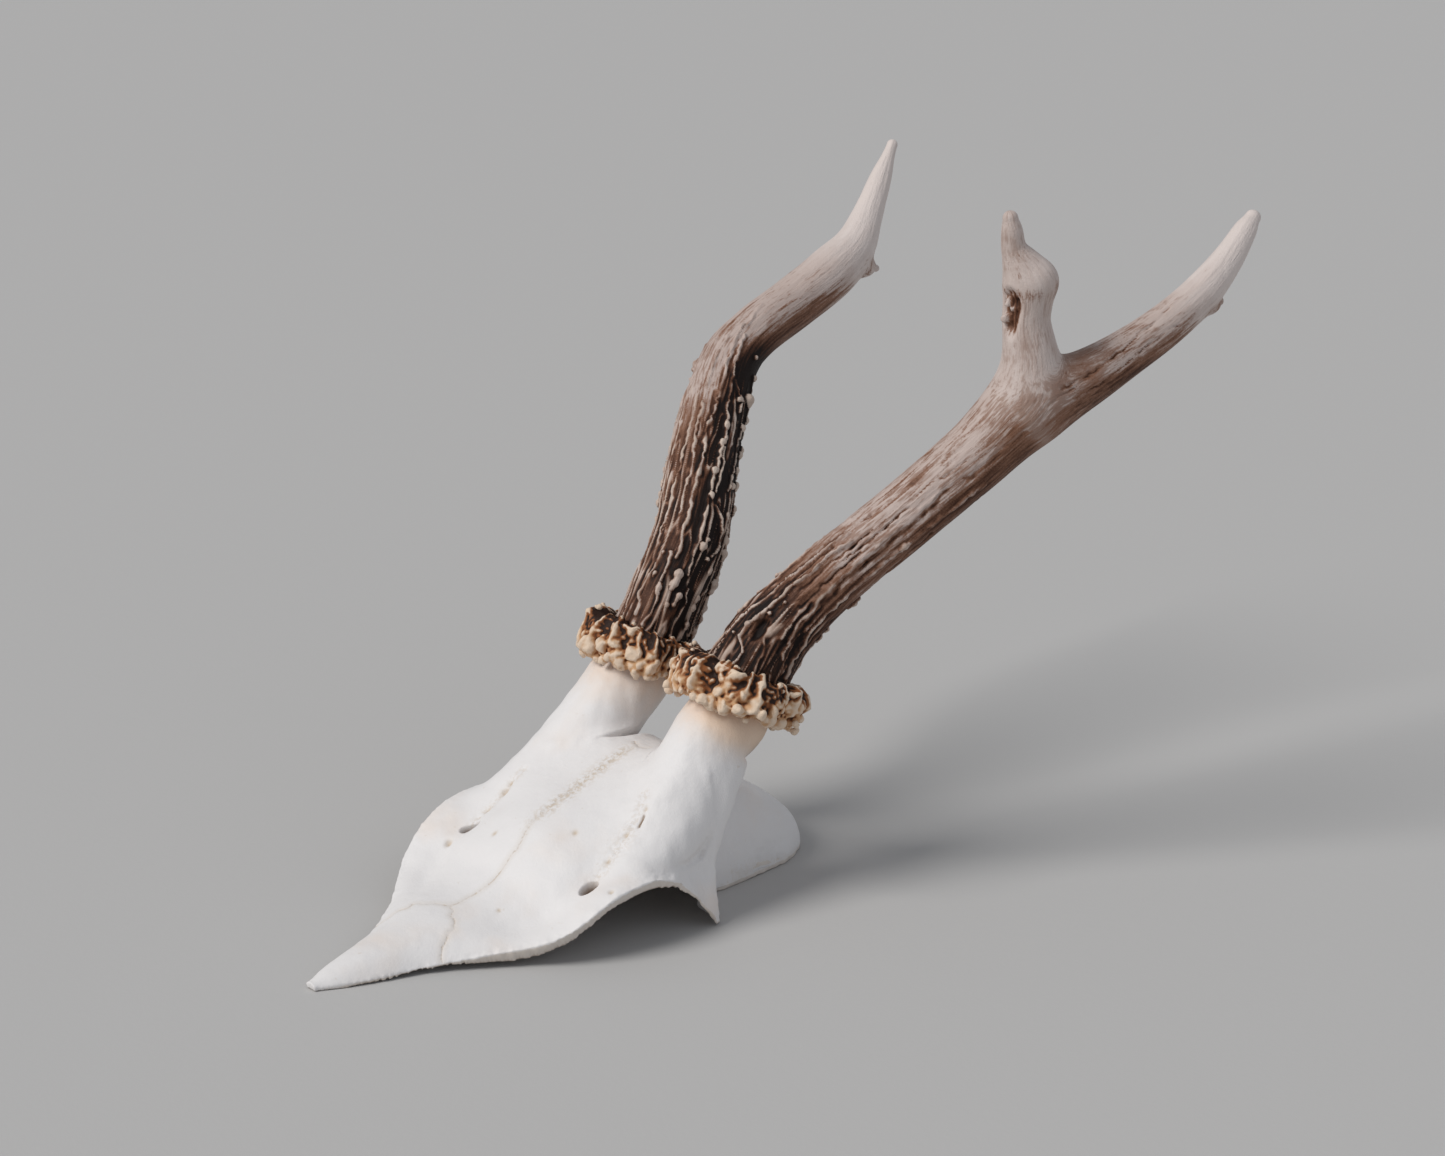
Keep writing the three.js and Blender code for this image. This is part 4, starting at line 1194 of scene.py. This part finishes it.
# Places on the left antler: run, turn in degrees, half length, half width, depth or strength.
BEAM_HOLLOW = (0.0163, -66, 0.0036, 0.0021, 0.0016)
TINE_PIT = (0.0300, -92, 0.0080, 0.0038, 0.0020)
PIT_LUMPS = ((0.0268, -110, 0.0013, 0.0010, 0.0022), (0.0312, -108, 0.0015, 0.0009, 0.0017),
             (0.0292, -98, 0.0010, 0.0006, 0.0009))
PIT_CRUMBS = ((0.0020, 71, 0.6), (0.0009, 72, 0.4))
FORK_STAIN = (0.121, -46, 0.034, 0.0062, 0.17)   # the mottled band below the fork
TINE_STAIN = (0.0425, -58, 0.0050, 0.0022, 0.20)
TINE_WIDTH = 0.007
# The crease around the front tine's bulb, stained and with painted shade: run, sag, turn in degrees of
# the sag, width, strength.
CREASE = (0.0362, 0.0016, -25, 0.0030, 0.36)
FORK_RUN, FORK_LENGTH = 0.124, 0.020

BEAM_RADIUS = 0.0105               # radius at which the grain of the beams is drawn
# Lump size, seed and strength of what bends a stroke sideways.
STROKE_WANDER = ((0.0042, 7, 0.0006), (0.0016, 8, 0.00046))
STROKE_MARGIN = 0.006
# Where a ridge fades: least share, noise at which it is least and full, lump size, seed.
RIDGE_FADE, FURROW_FADE = (0.55, -0.55, -0.05, 0.0060, 11), (0.45, -0.5, 0.1, 0.0050, 12)
# Distances from a branch over which the beam's own relief, its colours and its grain give way.
OWN_SPAN, COLOUR_SPAN, GRAIN_SPAN = (-0.0015, 0.0035), (-0.0050, 0.0075), (-0.0035, 0.0035)
PEARL_RISE, PEARLS_END = (0.00035, 0.0010), (0.112, 0.118)
RAISED = 0.00022                   # height over its surroundings of a fully raised point
FOOT_RUN = (0.012, 0.045)          # run over which the dark foot gives way to the beam
BAR_CLEAR = (0.0003, 0.0007)       # height from which a pearl is left standing
PEARL_TURNS, PEARL_SIZES = (50, 230), (0.0008, 0.0016)   # of the further pearls


def unrolled(run, turn, radius, place, angle):
    """Distances along and across the skin from one place on a beam."""
    away = np.angle(np.exp(1j * (turn - math.radians(angle))))
    return run - place, away * radius


def sunken(run, turn, radius, hollow):
    """Mask and depth of one oval hollow on a beam."""
    place, angle, length, width, depth = hollow
    along, across = unrolled(run, turn, radius, place, angle)
    mask = 1 - smooth(0.55, 1.15, np.hypot(along / length, across / width))
    return mask, mask * depth


def stroke_field(run, turn, radius, strokes):
    """Heights of all drawn ridges and furrows, with masks for crests, furrows and nearness."""
    height, crest, furrow, near = np.zeros((4, len(run)))
    ring = np.column_stack([np.cos(turn) * 0.01, np.sin(turn) * 0.01, run])
    for rise, half, line in strokes:
        rise, half = rise * MM, half * MM
        runs, angles = [place * MM for place, _ in line], [angle for _, angle in line]
        chosen = (run > min(runs) - STROKE_MARGIN) & (run < max(runs) + STROKE_MARGIN)
        if not chosen.any():
            continue
        part, middle = ring[chosen], float(np.mean(angles))
        along, across = unrolled(run[chosen], turn[chosen], radius[chosen], 0.0, middle)
        across = across + cloudy(part, *STROKE_WANDER)
        path = [(place, math.radians(angle - middle) * BEAM_RADIUS) for place, angle in zip(runs, angles)]
        away = line_distance(along, across * BEAM_RADIUS / radius[chosen], path)
        knots = np.maximum(0.80 + cloudy(part, (0.0028, 9, 0.40), (0.0014, 10, 0.30)), 0.25)
        least, low, high, cell, seed = RIDGE_FADE if rise > 0 else FURROW_FADE
        band = bell(away, 0.86 * half * knots)
        band = band * lerp(least, 1.0, smooth(low, high, noise(part, cell, seed)))
        beads = 1 + 0.38 * noise(part, 0.0018, 13)
        height[chosen] += rise * band * (0.70 + 0.35 * knots) * beads
        near[chosen] = np.maximum(near[chosen], bell(away, 0.0020))
        kept = crest if rise > 0 else furrow
        strength = min(1.0, abs(rise) / 0.0006)
        kept[chosen] = np.maximum(kept[chosen], band**1.6 * strength * (1.3 * beads - 0.35))
    return height, crest, furrow, near


def grown_ridges(run, turn, seed):
    """Wavy lengthwise ridges that part and meet again: their height and crest share."""
    ring = np.column_stack([np.cos(turn) * BEAM_RADIUS, np.sin(turn) * BEAM_RADIUS, run])

    def drawn_out(stretch, cell, number):
        return noise(ring * (1, 1, stretch), cell, seed + number)

    wide = drawn_out(0.070, 0.0024, 0) + 0.24 * drawn_out(0.3, 0.0022, 1)
    slim, broad = drawn_out(0.12, 0.0014, 2), drawn_out(0.10, 0.0050, 3)
    main = bell(wide, 0.14) * (1 + 0.5 * drawn_out(0.6, 0.0024, 4))
    small = bell(slim, 0.12)
    return main * 0.85 + small * 0.42 + broad * 0.55, np.clip(main + 0.78 * small, 0, 1)


def antler_relief(run, turn, radius, look, settings):
    """Height over the plain beam, with crest and furrow masks."""
    fade = 1 - smooth(*look["ridge_span"], run)
    drawn_height, drawn_crest, furrow, near = stroke_field(run, turn, radius, look["strokes"])
    first, last = look["drawn"]
    middle, half = math.radians((first + last) / 2), math.radians((last - first) / 2)
    behind = smooth(half - 0.25, half + 0.15, np.abs(np.angle(np.exp(1j * (turn - middle)))))
    share = lerp(0.85, 1.0, behind) * (1 - 0.65 * near)
    height, crest = grown_ridges(run, turn, look["seed"])
    strength = lerp(look["ridge_end"], 1.0, fade)
    # Higher up the beam is worn: broad pale bands with narrow furrows take the place of the ridges.
    worn = smooth(*look["worn_span"], run)
    furrow = np.maximum(furrow, crest * share * worn * lerp(0.50, 0.74, strength))
    height = lerp(height, 0.35 - 0.75 * height, worn)
    drawn_crest = drawn_crest * lerp(1.0, look["worn_crest"], worn)
    crest = crest * share * strength * (1 - worn)
    relief = settings.ridge_height * look["ridge"] * strength * (height * share - 0.2)
    return relief + drawn_height, np.maximum(crest, drawn_crest), furrow, fade


def pearl_lumps(spine, look):
    """Centres and radii of the pearls, each of two or three lumps."""
    random = np.random.default_rng(look["seed"])
    places = [(run * MM, angle, size * MM) for run, angle, size in look["pearls"]]
    for _ in range(look["more_pearls"]):
        run = random.uniform(0.003, look["pearl_reach"])
        places.append((run, random.uniform(*PEARL_TURNS), random.uniform(*PEARL_SIZES)))
    centres, radii = [], []
    for run, angle, size in places:
        shift = random.uniform(-0.5, 0.5)
        for step, share in ((0.0, 0.90), (-0.70, 0.66), (0.75 + shift, 0.50)):
            i = int(np.clip((run + step * size) / SPINE_STEP, 0, len(spine.along) - 1))
            turn = math.radians(angle + shift * 6 * step)
            out = spine.side[i] * math.cos(turn) + spine.over[i] * math.sin(turn)
            centres.append(spine.centre[i] + out * (spine.radius[i] + size * share * 0.15))
            radii.append(size * share)
    return np.array(centres), np.array(radii)


def settle_bars(points, spines, softness):
    """Moves a skin onto its bars melted together, but leaves the pearls standing."""
    for _ in range(3):
        best, gap, _, _ = spines[0].around(points)
        way = unit(points - spines[0].centre[best])
        for spine, soft in zip(spines[1:], softness):
            best, other, _, _ = spine.around(points)
            gap, (_, share) = melted([gap, other], soft)
            way = lerp(way, unit(points - spine.centre[best]), share[:, None])
        points = pushed(points, way, gap, 1 - smooth(*BAR_CLEAR, gap), BAR_LEAST_WAY)
    return points


class Skin:
    """Where each point of an antler lies on its beam, and how near to its branches."""

    def __init__(self, points, spines):
        self.points, self.spines, self.main = points, spines, spines[0]
        best, self.gap, self.run, self.turn = self.main.around(points)
        self.radius, self.centre = self.main.radius[best], self.main.centre[best]
        self.branches = [spine.around(points) for spine in spines[1:]]
        self.own, self.blend, self.nearest = np.ones(len(points)), np.ones(len(points)), self.gap
        for _, gap, _, _ in self.branches:
            self.own = np.minimum(self.own, smooth(*OWN_SPAN, gap - self.gap))
            self.blend = np.minimum(self.blend, smooth(*COLOUR_SPAN, gap - self.gap))
            self.nearest = np.minimum(self.nearest, gap)

    def eaten(self):
        """The hollow at the beam's foot and the pit in the front tine: depths and how stained they are.
        """
        mask, hollow = sunken(self.run, self.turn, self.radius, BEAM_HOLLOW)
        best, _, run, turn = self.branches[0]
        radius = self.spines[1].radius[best]
        pit, depth = sunken(run, turn, radius, TINE_PIT)
        crumbs = cloudy(self.points, *PIT_CRUMBS)
        depth = depth * (1 + 0.5 * crumbs)
        for lump in PIT_LUMPS:
            raised, height = sunken(run, turn, radius, lump)
            depth -= height
            pit = pit * (1 - 0.75 * raised)
        return hollow, depth, np.maximum(mask * 0.9, pit * (0.66 + 0.34 * crumbs))

    def tine_stain_and_shade(self, points):
        """Stain and painted shade in the crease around the front tine's bulb, and stain in a patch beside
        it.
        """
        _, _, run, turn = self.branches[0]
        place, sag, lowest, width, strength = CREASE
        around = 0.45 + 0.35 * np.sin(2.3 * turn + 0.8) + 0.5 * noise(points, 0.004, 73)
        off = run - place + sag * np.cos(turn - math.radians(lowest))
        crease = bell(off, width) * np.clip(around, 0.8, 1) * strength
        return np.maximum(crease, sunken(run, turn, TINE_WIDTH, TINE_STAIN)[1]) * (1 - self.own)

    def flow(self):
        """Places for the grain: around and along the beam, or the branch that a point is on."""
        flow = grain_place(self.turn, self.radius, self.run)
        for spine, (best, gap, run, turn) in zip(self.spines[1:], self.branches):
            if spine.length < LEAST_GRAINED:
                continue
            share = 1 - smooth(*GRAIN_SPAN, gap - self.gap)
            away = np.linalg.norm(self.main.centre - spine.centre[0], axis=1)
            own = grain_place(turn, spine.radius[best], self.main.along[away.argmin()] + run)
            flow = flow + (own - flow) * share[:, None]
        return flow


def grain_place(turn, radius, run):
    return np.column_stack([np.cos(turn) * radius, np.sin(turn) * radius, run])


def antler_masks(piece, skin, look, pearl, crest, furrow, fade, pit):
    """The numbers per point that the antler's material reads."""
    points, run, own, blend = points_of(piece), skin.run, skin.own, skin.blend
    out = unit(points - skin.centre)
    sideways = smooth(-0.28, 0.62, out @ BACK_LEFT)
    low_span, high_span = look["stain_span"]
    first, last = (lerp(low, high, sideways) for low, high in zip(low_span, high_span))
    base = (1 - smooth(first, last, run)) * lerp(*look["stain_side"], sideways)
    tip = smooth(*look["tip"], run / skin.main.length) * own
    raised = np.clip(standing_out(piece, 14) / RAISED, -1.2, 1.2)
    # Painted shade: the lower flank beyond the foot is darkened with the stain colours, less towards the
    # bare tip.
    under = smooth(-0.05, 0.80, out @ SHADED_LOWER_FLANK) * smooth(0.040, 0.075, run)
    foot_end = smooth(*FOOT_RUN, run)
    stain_and_shade = base * (1 - crest * lerp(0.74, 1.0, foot_end)) - 0.34 * raised * lerp(0.45, 1.0, base)
    stain_and_shade = (stain_and_shade + under * 0.56 * (1 - tip)) * lerp(look["foot"], 1.0, smooth(0.004, 0.022, run))
    stain_and_shade = np.maximum(stain_and_shade, furrow * lerp(0.44, 0.84, fade)) * (1 - 0.9 * pearl)
    stain_and_shade = stain_and_shade * lerp(0.40, 1.0, blend)
    fleck = 0.30 + 0.35 * smooth(0.0, 1.0, out @ UNDER_SIDE) + 0.35 * fade
    if look["forked"]:
        stain_and_shade += sunken(run, skin.turn, skin.radius, FORK_STAIN)[1] * own
        stain_and_shade = np.maximum(stain_and_shade, skin.tine_stain_and_shade(points))
        fleck = fleck + 0.70 * bell(run - FORK_RUN, FORK_LENGTH)
    stain_and_shade = np.maximum(stain_and_shade, pit)
    wear = np.clip(0.25 + 0.75 * base, 0, 1) * lerp(0.5, 1.0, fade)
    crest = np.maximum(crest * own, pearl) + raised * 0.18
    return {
        "stain_and_shade": stain_and_shade - 0.26 * tip - 0.10 * (1 - blend),
        "crest": np.clip(crest, 0, 1.3) * (1 - pit),
        "wear": wear * lerp(0.48, 0.92, foot_end),
        "tone": np.clip(1.0 - tip - 0.40 * (1 - blend), 0, 1),
        "fleck": np.clip(fleck, 0, 1.2) * (1 - tip) * lerp(0.28, 1.0, smooth(0.0, 0.5, blend)),
        "flow": skin.flow(),
    }


def make_antler(name, beam, branches, softness, look, nodes, settings, material):
    """One antler: a beam with its branches melted on, then ridges, furrows and pearls."""
    spines = [Spine(stations) for stations in (beam, *branches)]
    bars = [tube(spine) for spine in spines]
    bars.append(balls("pearls", *pearl_lumps(spines[0], look)))
    piece = fused(bars, name, settings.voxel * look["coarse"], 0)
    points = points_of(piece)
    foot = smooth(0.0, 0.004, (points - spines[0].centre[0]) @ BURR_UP)
    settled = settle_bars(points, spines, softness)
    move_points(piece, points + (settled - points) * foot[:, None])
    apply_modifier(piece, "SMOOTH", factor=0.5, iterations=2)
    normals, skin = normals_of(piece), Skin(points_of(piece), spines)
    pearl = smooth(*PEARL_RISE, skin.nearest) * skin.own * (1 - smooth(*PEARLS_END, skin.run))
    relief, *masks = antler_relief(skin.run, skin.turn, skin.radius, look, settings)
    hollow, depth, pit = skin.eaten() if look["forked"] else np.zeros((3, len(pearl)))
    relief = (relief - hollow) * skin.own * (1 - pearl)
    move_points(piece, skin.points - normals * depth[:, None] + normals * relief[:, None])
    dress(piece, material, antler_masks(piece, skin, look, pearl, *masks, pit))
    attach(piece, "root")
    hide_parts(*nodes)


def antler_material(settings):
    material, start = new_material("antler")
    flow = start.attribute("flow", "Vector")
    streak, broad = flow.speckle(1100, stretch=0.07), flow.speckle(300, stretch=0.12)
    long, dashes = flow.speckle(420, stretch=0.05), flow.speckle(1500, 2, 0.55, 0.16)
    grain, cloud = start.speckle(1700), start.speckle(90)
    tone = start.attribute("tone") + (broad - 0.5) * 0.9 + (cloud - 0.5) * 0.4
    grown = start.attribute("tone").between(0.30, 0.90)   # less of the streaks on tips and forks
    mottle = cloud - 0.5 + (long - 0.5) * 1.5 * grown + start.attribute("fleck") * 0.42
    fleck = start.attribute("fleck") * 0.34 + dashes * 0.9
    fleck = fleck + (cloud - 0.5) * 0.7 + (broad - 0.5) * 0.5
    # The stain mask carries real stain at the foot and in the furrows, and painted shade on the lower
    # flank and in the crease at the tine's bulb.
    stain_and_shade = start.attribute("stain_and_shade") + (streak - 0.5) * 0.95
    stain_and_shade = stain_and_shade + (broad - 0.5) * 0.45 + (grain - 0.5) * 0.35
    worn = (start.attribute("crest") + (streak - 0.5) * 0.7).between(0.38, 0.98)
    colour = start.painted(
        settings.ivory,
        (settings.beige, tone.between(0.05, 0.95)),
        (settings.tan, mottle.between(0.24, 0.74) * 0.58),
        (settings.tan, fleck.between(0.56, 0.77) * 0.66 * grown),
        (settings.tan, stain_and_shade.between(0.10, 0.40)),
        (settings.brown, stain_and_shade.between(0.32, 0.66)),
        (settings.dark, stain_and_shade.between(0.58, 0.98)),
        (settings.ridge, worn * start.attribute("wear")))
    normal = start.bump(streak * 0.8 + grain * 0.35 + broad * 0.5 + dashes * 0.35, 0.7)
    rough = 0.46 + stain_and_shade.between(0.2, 0.9) * 0.2 + (broad - 0.5) * 0.14
    surface(start, colour, rough, normal, {"IOR": 1.5, "Specular IOR Level": 0.22})
    return material


# ------------------------------------------------------------------ stage
CAMERA_PLACE = (0.65866, -0.55271, 0.36656)
SENSOR_WIDTH = 36.0
FLOOR_SIZE = 30.0
# The way each light comes from, its spread and its colour.
KEY_LIGHT = ((-0.22, -0.74, 0.76), math.radians(26), (1.0, 0.985, 0.965))
FILL_LIGHT = ((0.90, 0.20, 0.45), math.radians(60), (0.80, 0.88, 1.0))
SKY_COLOUR = (0.90, 0.94, 1.0, 1.0)


def floor_material(settings):
    material, start = new_material("pale_floor")
    normal = start.bump(start.speckle(500), 0.12, 0.0003)
    surface(start, (*settings.floor, 1.0), 0.9, normal, {"Specular IOR Level": 0.1})
    return material


def soft_light(name, strength, way, spread, colour):
    """An even far light that comes from that way, with soft shadows."""
    from_way = np.array(way) / np.linalg.norm(way)
    bpy.ops.object.light_add(type="SUN", location=from_way)
    light = named(bpy.context.object, name)
    light.data.angle = spread
    light.data.energy = strength
    light.data.color = colour
    light.rotation_euler = (math.acos(from_way[2]), 0.0, math.atan2(from_way[0], -from_way[1]))


def make_stage(settings):
    bpy.ops.mesh.primitive_plane_add(size=FLOOR_SIZE)
    floor = named(bpy.context.object, "floor")
    floor.data.materials.append(floor_material(settings))
    soft_light("key_light", settings.key, *KEY_LIGHT)
    soft_light("fill_light", settings.fill, *FILL_LIGHT)
    scene = bpy.context.scene
    scene.world = bpy.data.worlds.new("room")
    scene.world.use_nodes = True
    back = scene.world.node_tree.nodes["Background"]
    back.inputs["Color"].default_value = SKY_COLOUR
    back.inputs["Strength"].default_value = settings.sky
    scene.view_settings.view_transform = "Standard"
    bpy.ops.object.camera_add(
        location=CAMERA_PLACE, rotation=(math.pi / 2 - settings.dip, 0.0, settings.turn))
    camera = named(bpy.context.object, "camera")
    camera.data.sensor_width = SENSOR_WIDTH
    camera.data.lens = settings.lens
    camera.data.clip_start = 0.01
    scene.camera = camera


# ------------------------------------------------------------------ operators and panel
class MakeSkullCap(bpy.types.Operator):
    """Models the nasal bones, forehead, braincase roof and stalks as one bone"""
    bl_idname = "roebuck.skull_cap"
    bl_label = "Skull cap"

    def execute(self, context):
        make_skull_cap(context.scene.roebuck_skull)
        return {"FINISHED"}


class MakeBurrs(bpy.types.Operator):
    """Models the two knobbly burrs"""
    bl_idname = "roebuck.burrs"
    bl_label = "Burrs"

    def execute(self, context):
        settings = context.scene.roebuck_burr
        material = burr_material(settings)
        make_burr(LEFT_BURR, "left_burr", "burr_left", settings, material)
        make_burr(RIGHT_BURR, "right_burr", "burr_right", settings, material)
        return {"FINISHED"}


class MakeAntlers(bpy.types.Operator):
    """Models the two antlers with their ridges and pearls"""
    bl_idname = "roebuck.antlers"
    bl_label = "Antlers"

    def execute(self, context):
        settings = context.scene.roebuck_antler
        material = antler_material(settings)
        make_antler(
            "left_antler", LEFT_BEAM, (LEFT_FRONT_TINE, LEFT_TINE_BULB, LEFT_REAR_NUB),
            (0.0023, 0.0014, 0.0006), LEFT_LOOK,
            ("antler_left_lower_beam", "antler_left_fork", "antler_left_front_tine",
             "antler_left_rear_tine"), settings, material)
        make_antler(
            "right_antler", RIGHT_BEAM, (RIGHT_REAR_NUB,), (0.0007,), RIGHT_LOOK,
            ("antler_right_lower_beam", "antler_right_upper_beam", "antler_right_tip"),
            settings, material)
        return {"FINISHED"}


class MakeStage(bpy.types.Operator):
    """Adds the floor, the soft lights and the camera"""
    bl_idname = "roebuck.stage"
    bl_label = "Stage"

    def execute(self, context):
        make_stage(context.scene.roebuck_stage)
        return {"FINISHED"}


class RoebuckPanel(bpy.types.Panel):
    bl_label = "Roebuck skull cap"
    bl_idname = "ROEBUCK_PT_main"
    bl_space_type = "VIEW_3D"
    bl_region_type = "UI"
    bl_category = "Roebuck"

    def draw(self, context):
        for operator, group in PARTS:
            box = self.layout.box()
            box.operator(operator.bl_idname)
            settings = getattr(context.scene, group)
            for name in settings.bl_rna.properties.keys():
                if name not in ("rna_type", "name"):
                    box.prop(settings, name)


PARTS = (
    (MakeSkullCap, "roebuck_skull"),
    (MakeBurrs, "roebuck_burr"),
    (MakeAntlers, "roebuck_antler"),
    (MakeStage, "roebuck_stage"),
)
GROUPS = {
    "roebuck_skull": SkullSettings,
    "roebuck_burr": BurrSettings,
    "roebuck_antler": AntlerSettings,
    "roebuck_stage": StageSettings,
}


def register():
    for name, group in GROUPS.items():
        bpy.utils.register_class(group)
        setattr(bpy.types.Scene, name, PointerProperty(type=group))
    for operator, _ in PARTS:
        bpy.utils.register_class(operator)
    bpy.utils.register_class(RoebuckPanel)


def unregister():
    bpy.utils.unregister_class(RoebuckPanel)
    for operator, _ in PARTS:
        bpy.utils.unregister_class(operator)
    for name, group in GROUPS.items():
        delattr(bpy.types.Scene, name)
        bpy.utils.unregister_class(group)


def main():
    register()
    bpy.ops.roebuck.skull_cap()
    bpy.ops.roebuck.burrs()
    bpy.ops.roebuck.antlers()
    bpy.ops.roebuck.stage()
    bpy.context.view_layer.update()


if __name__ == "__main__":
    main()
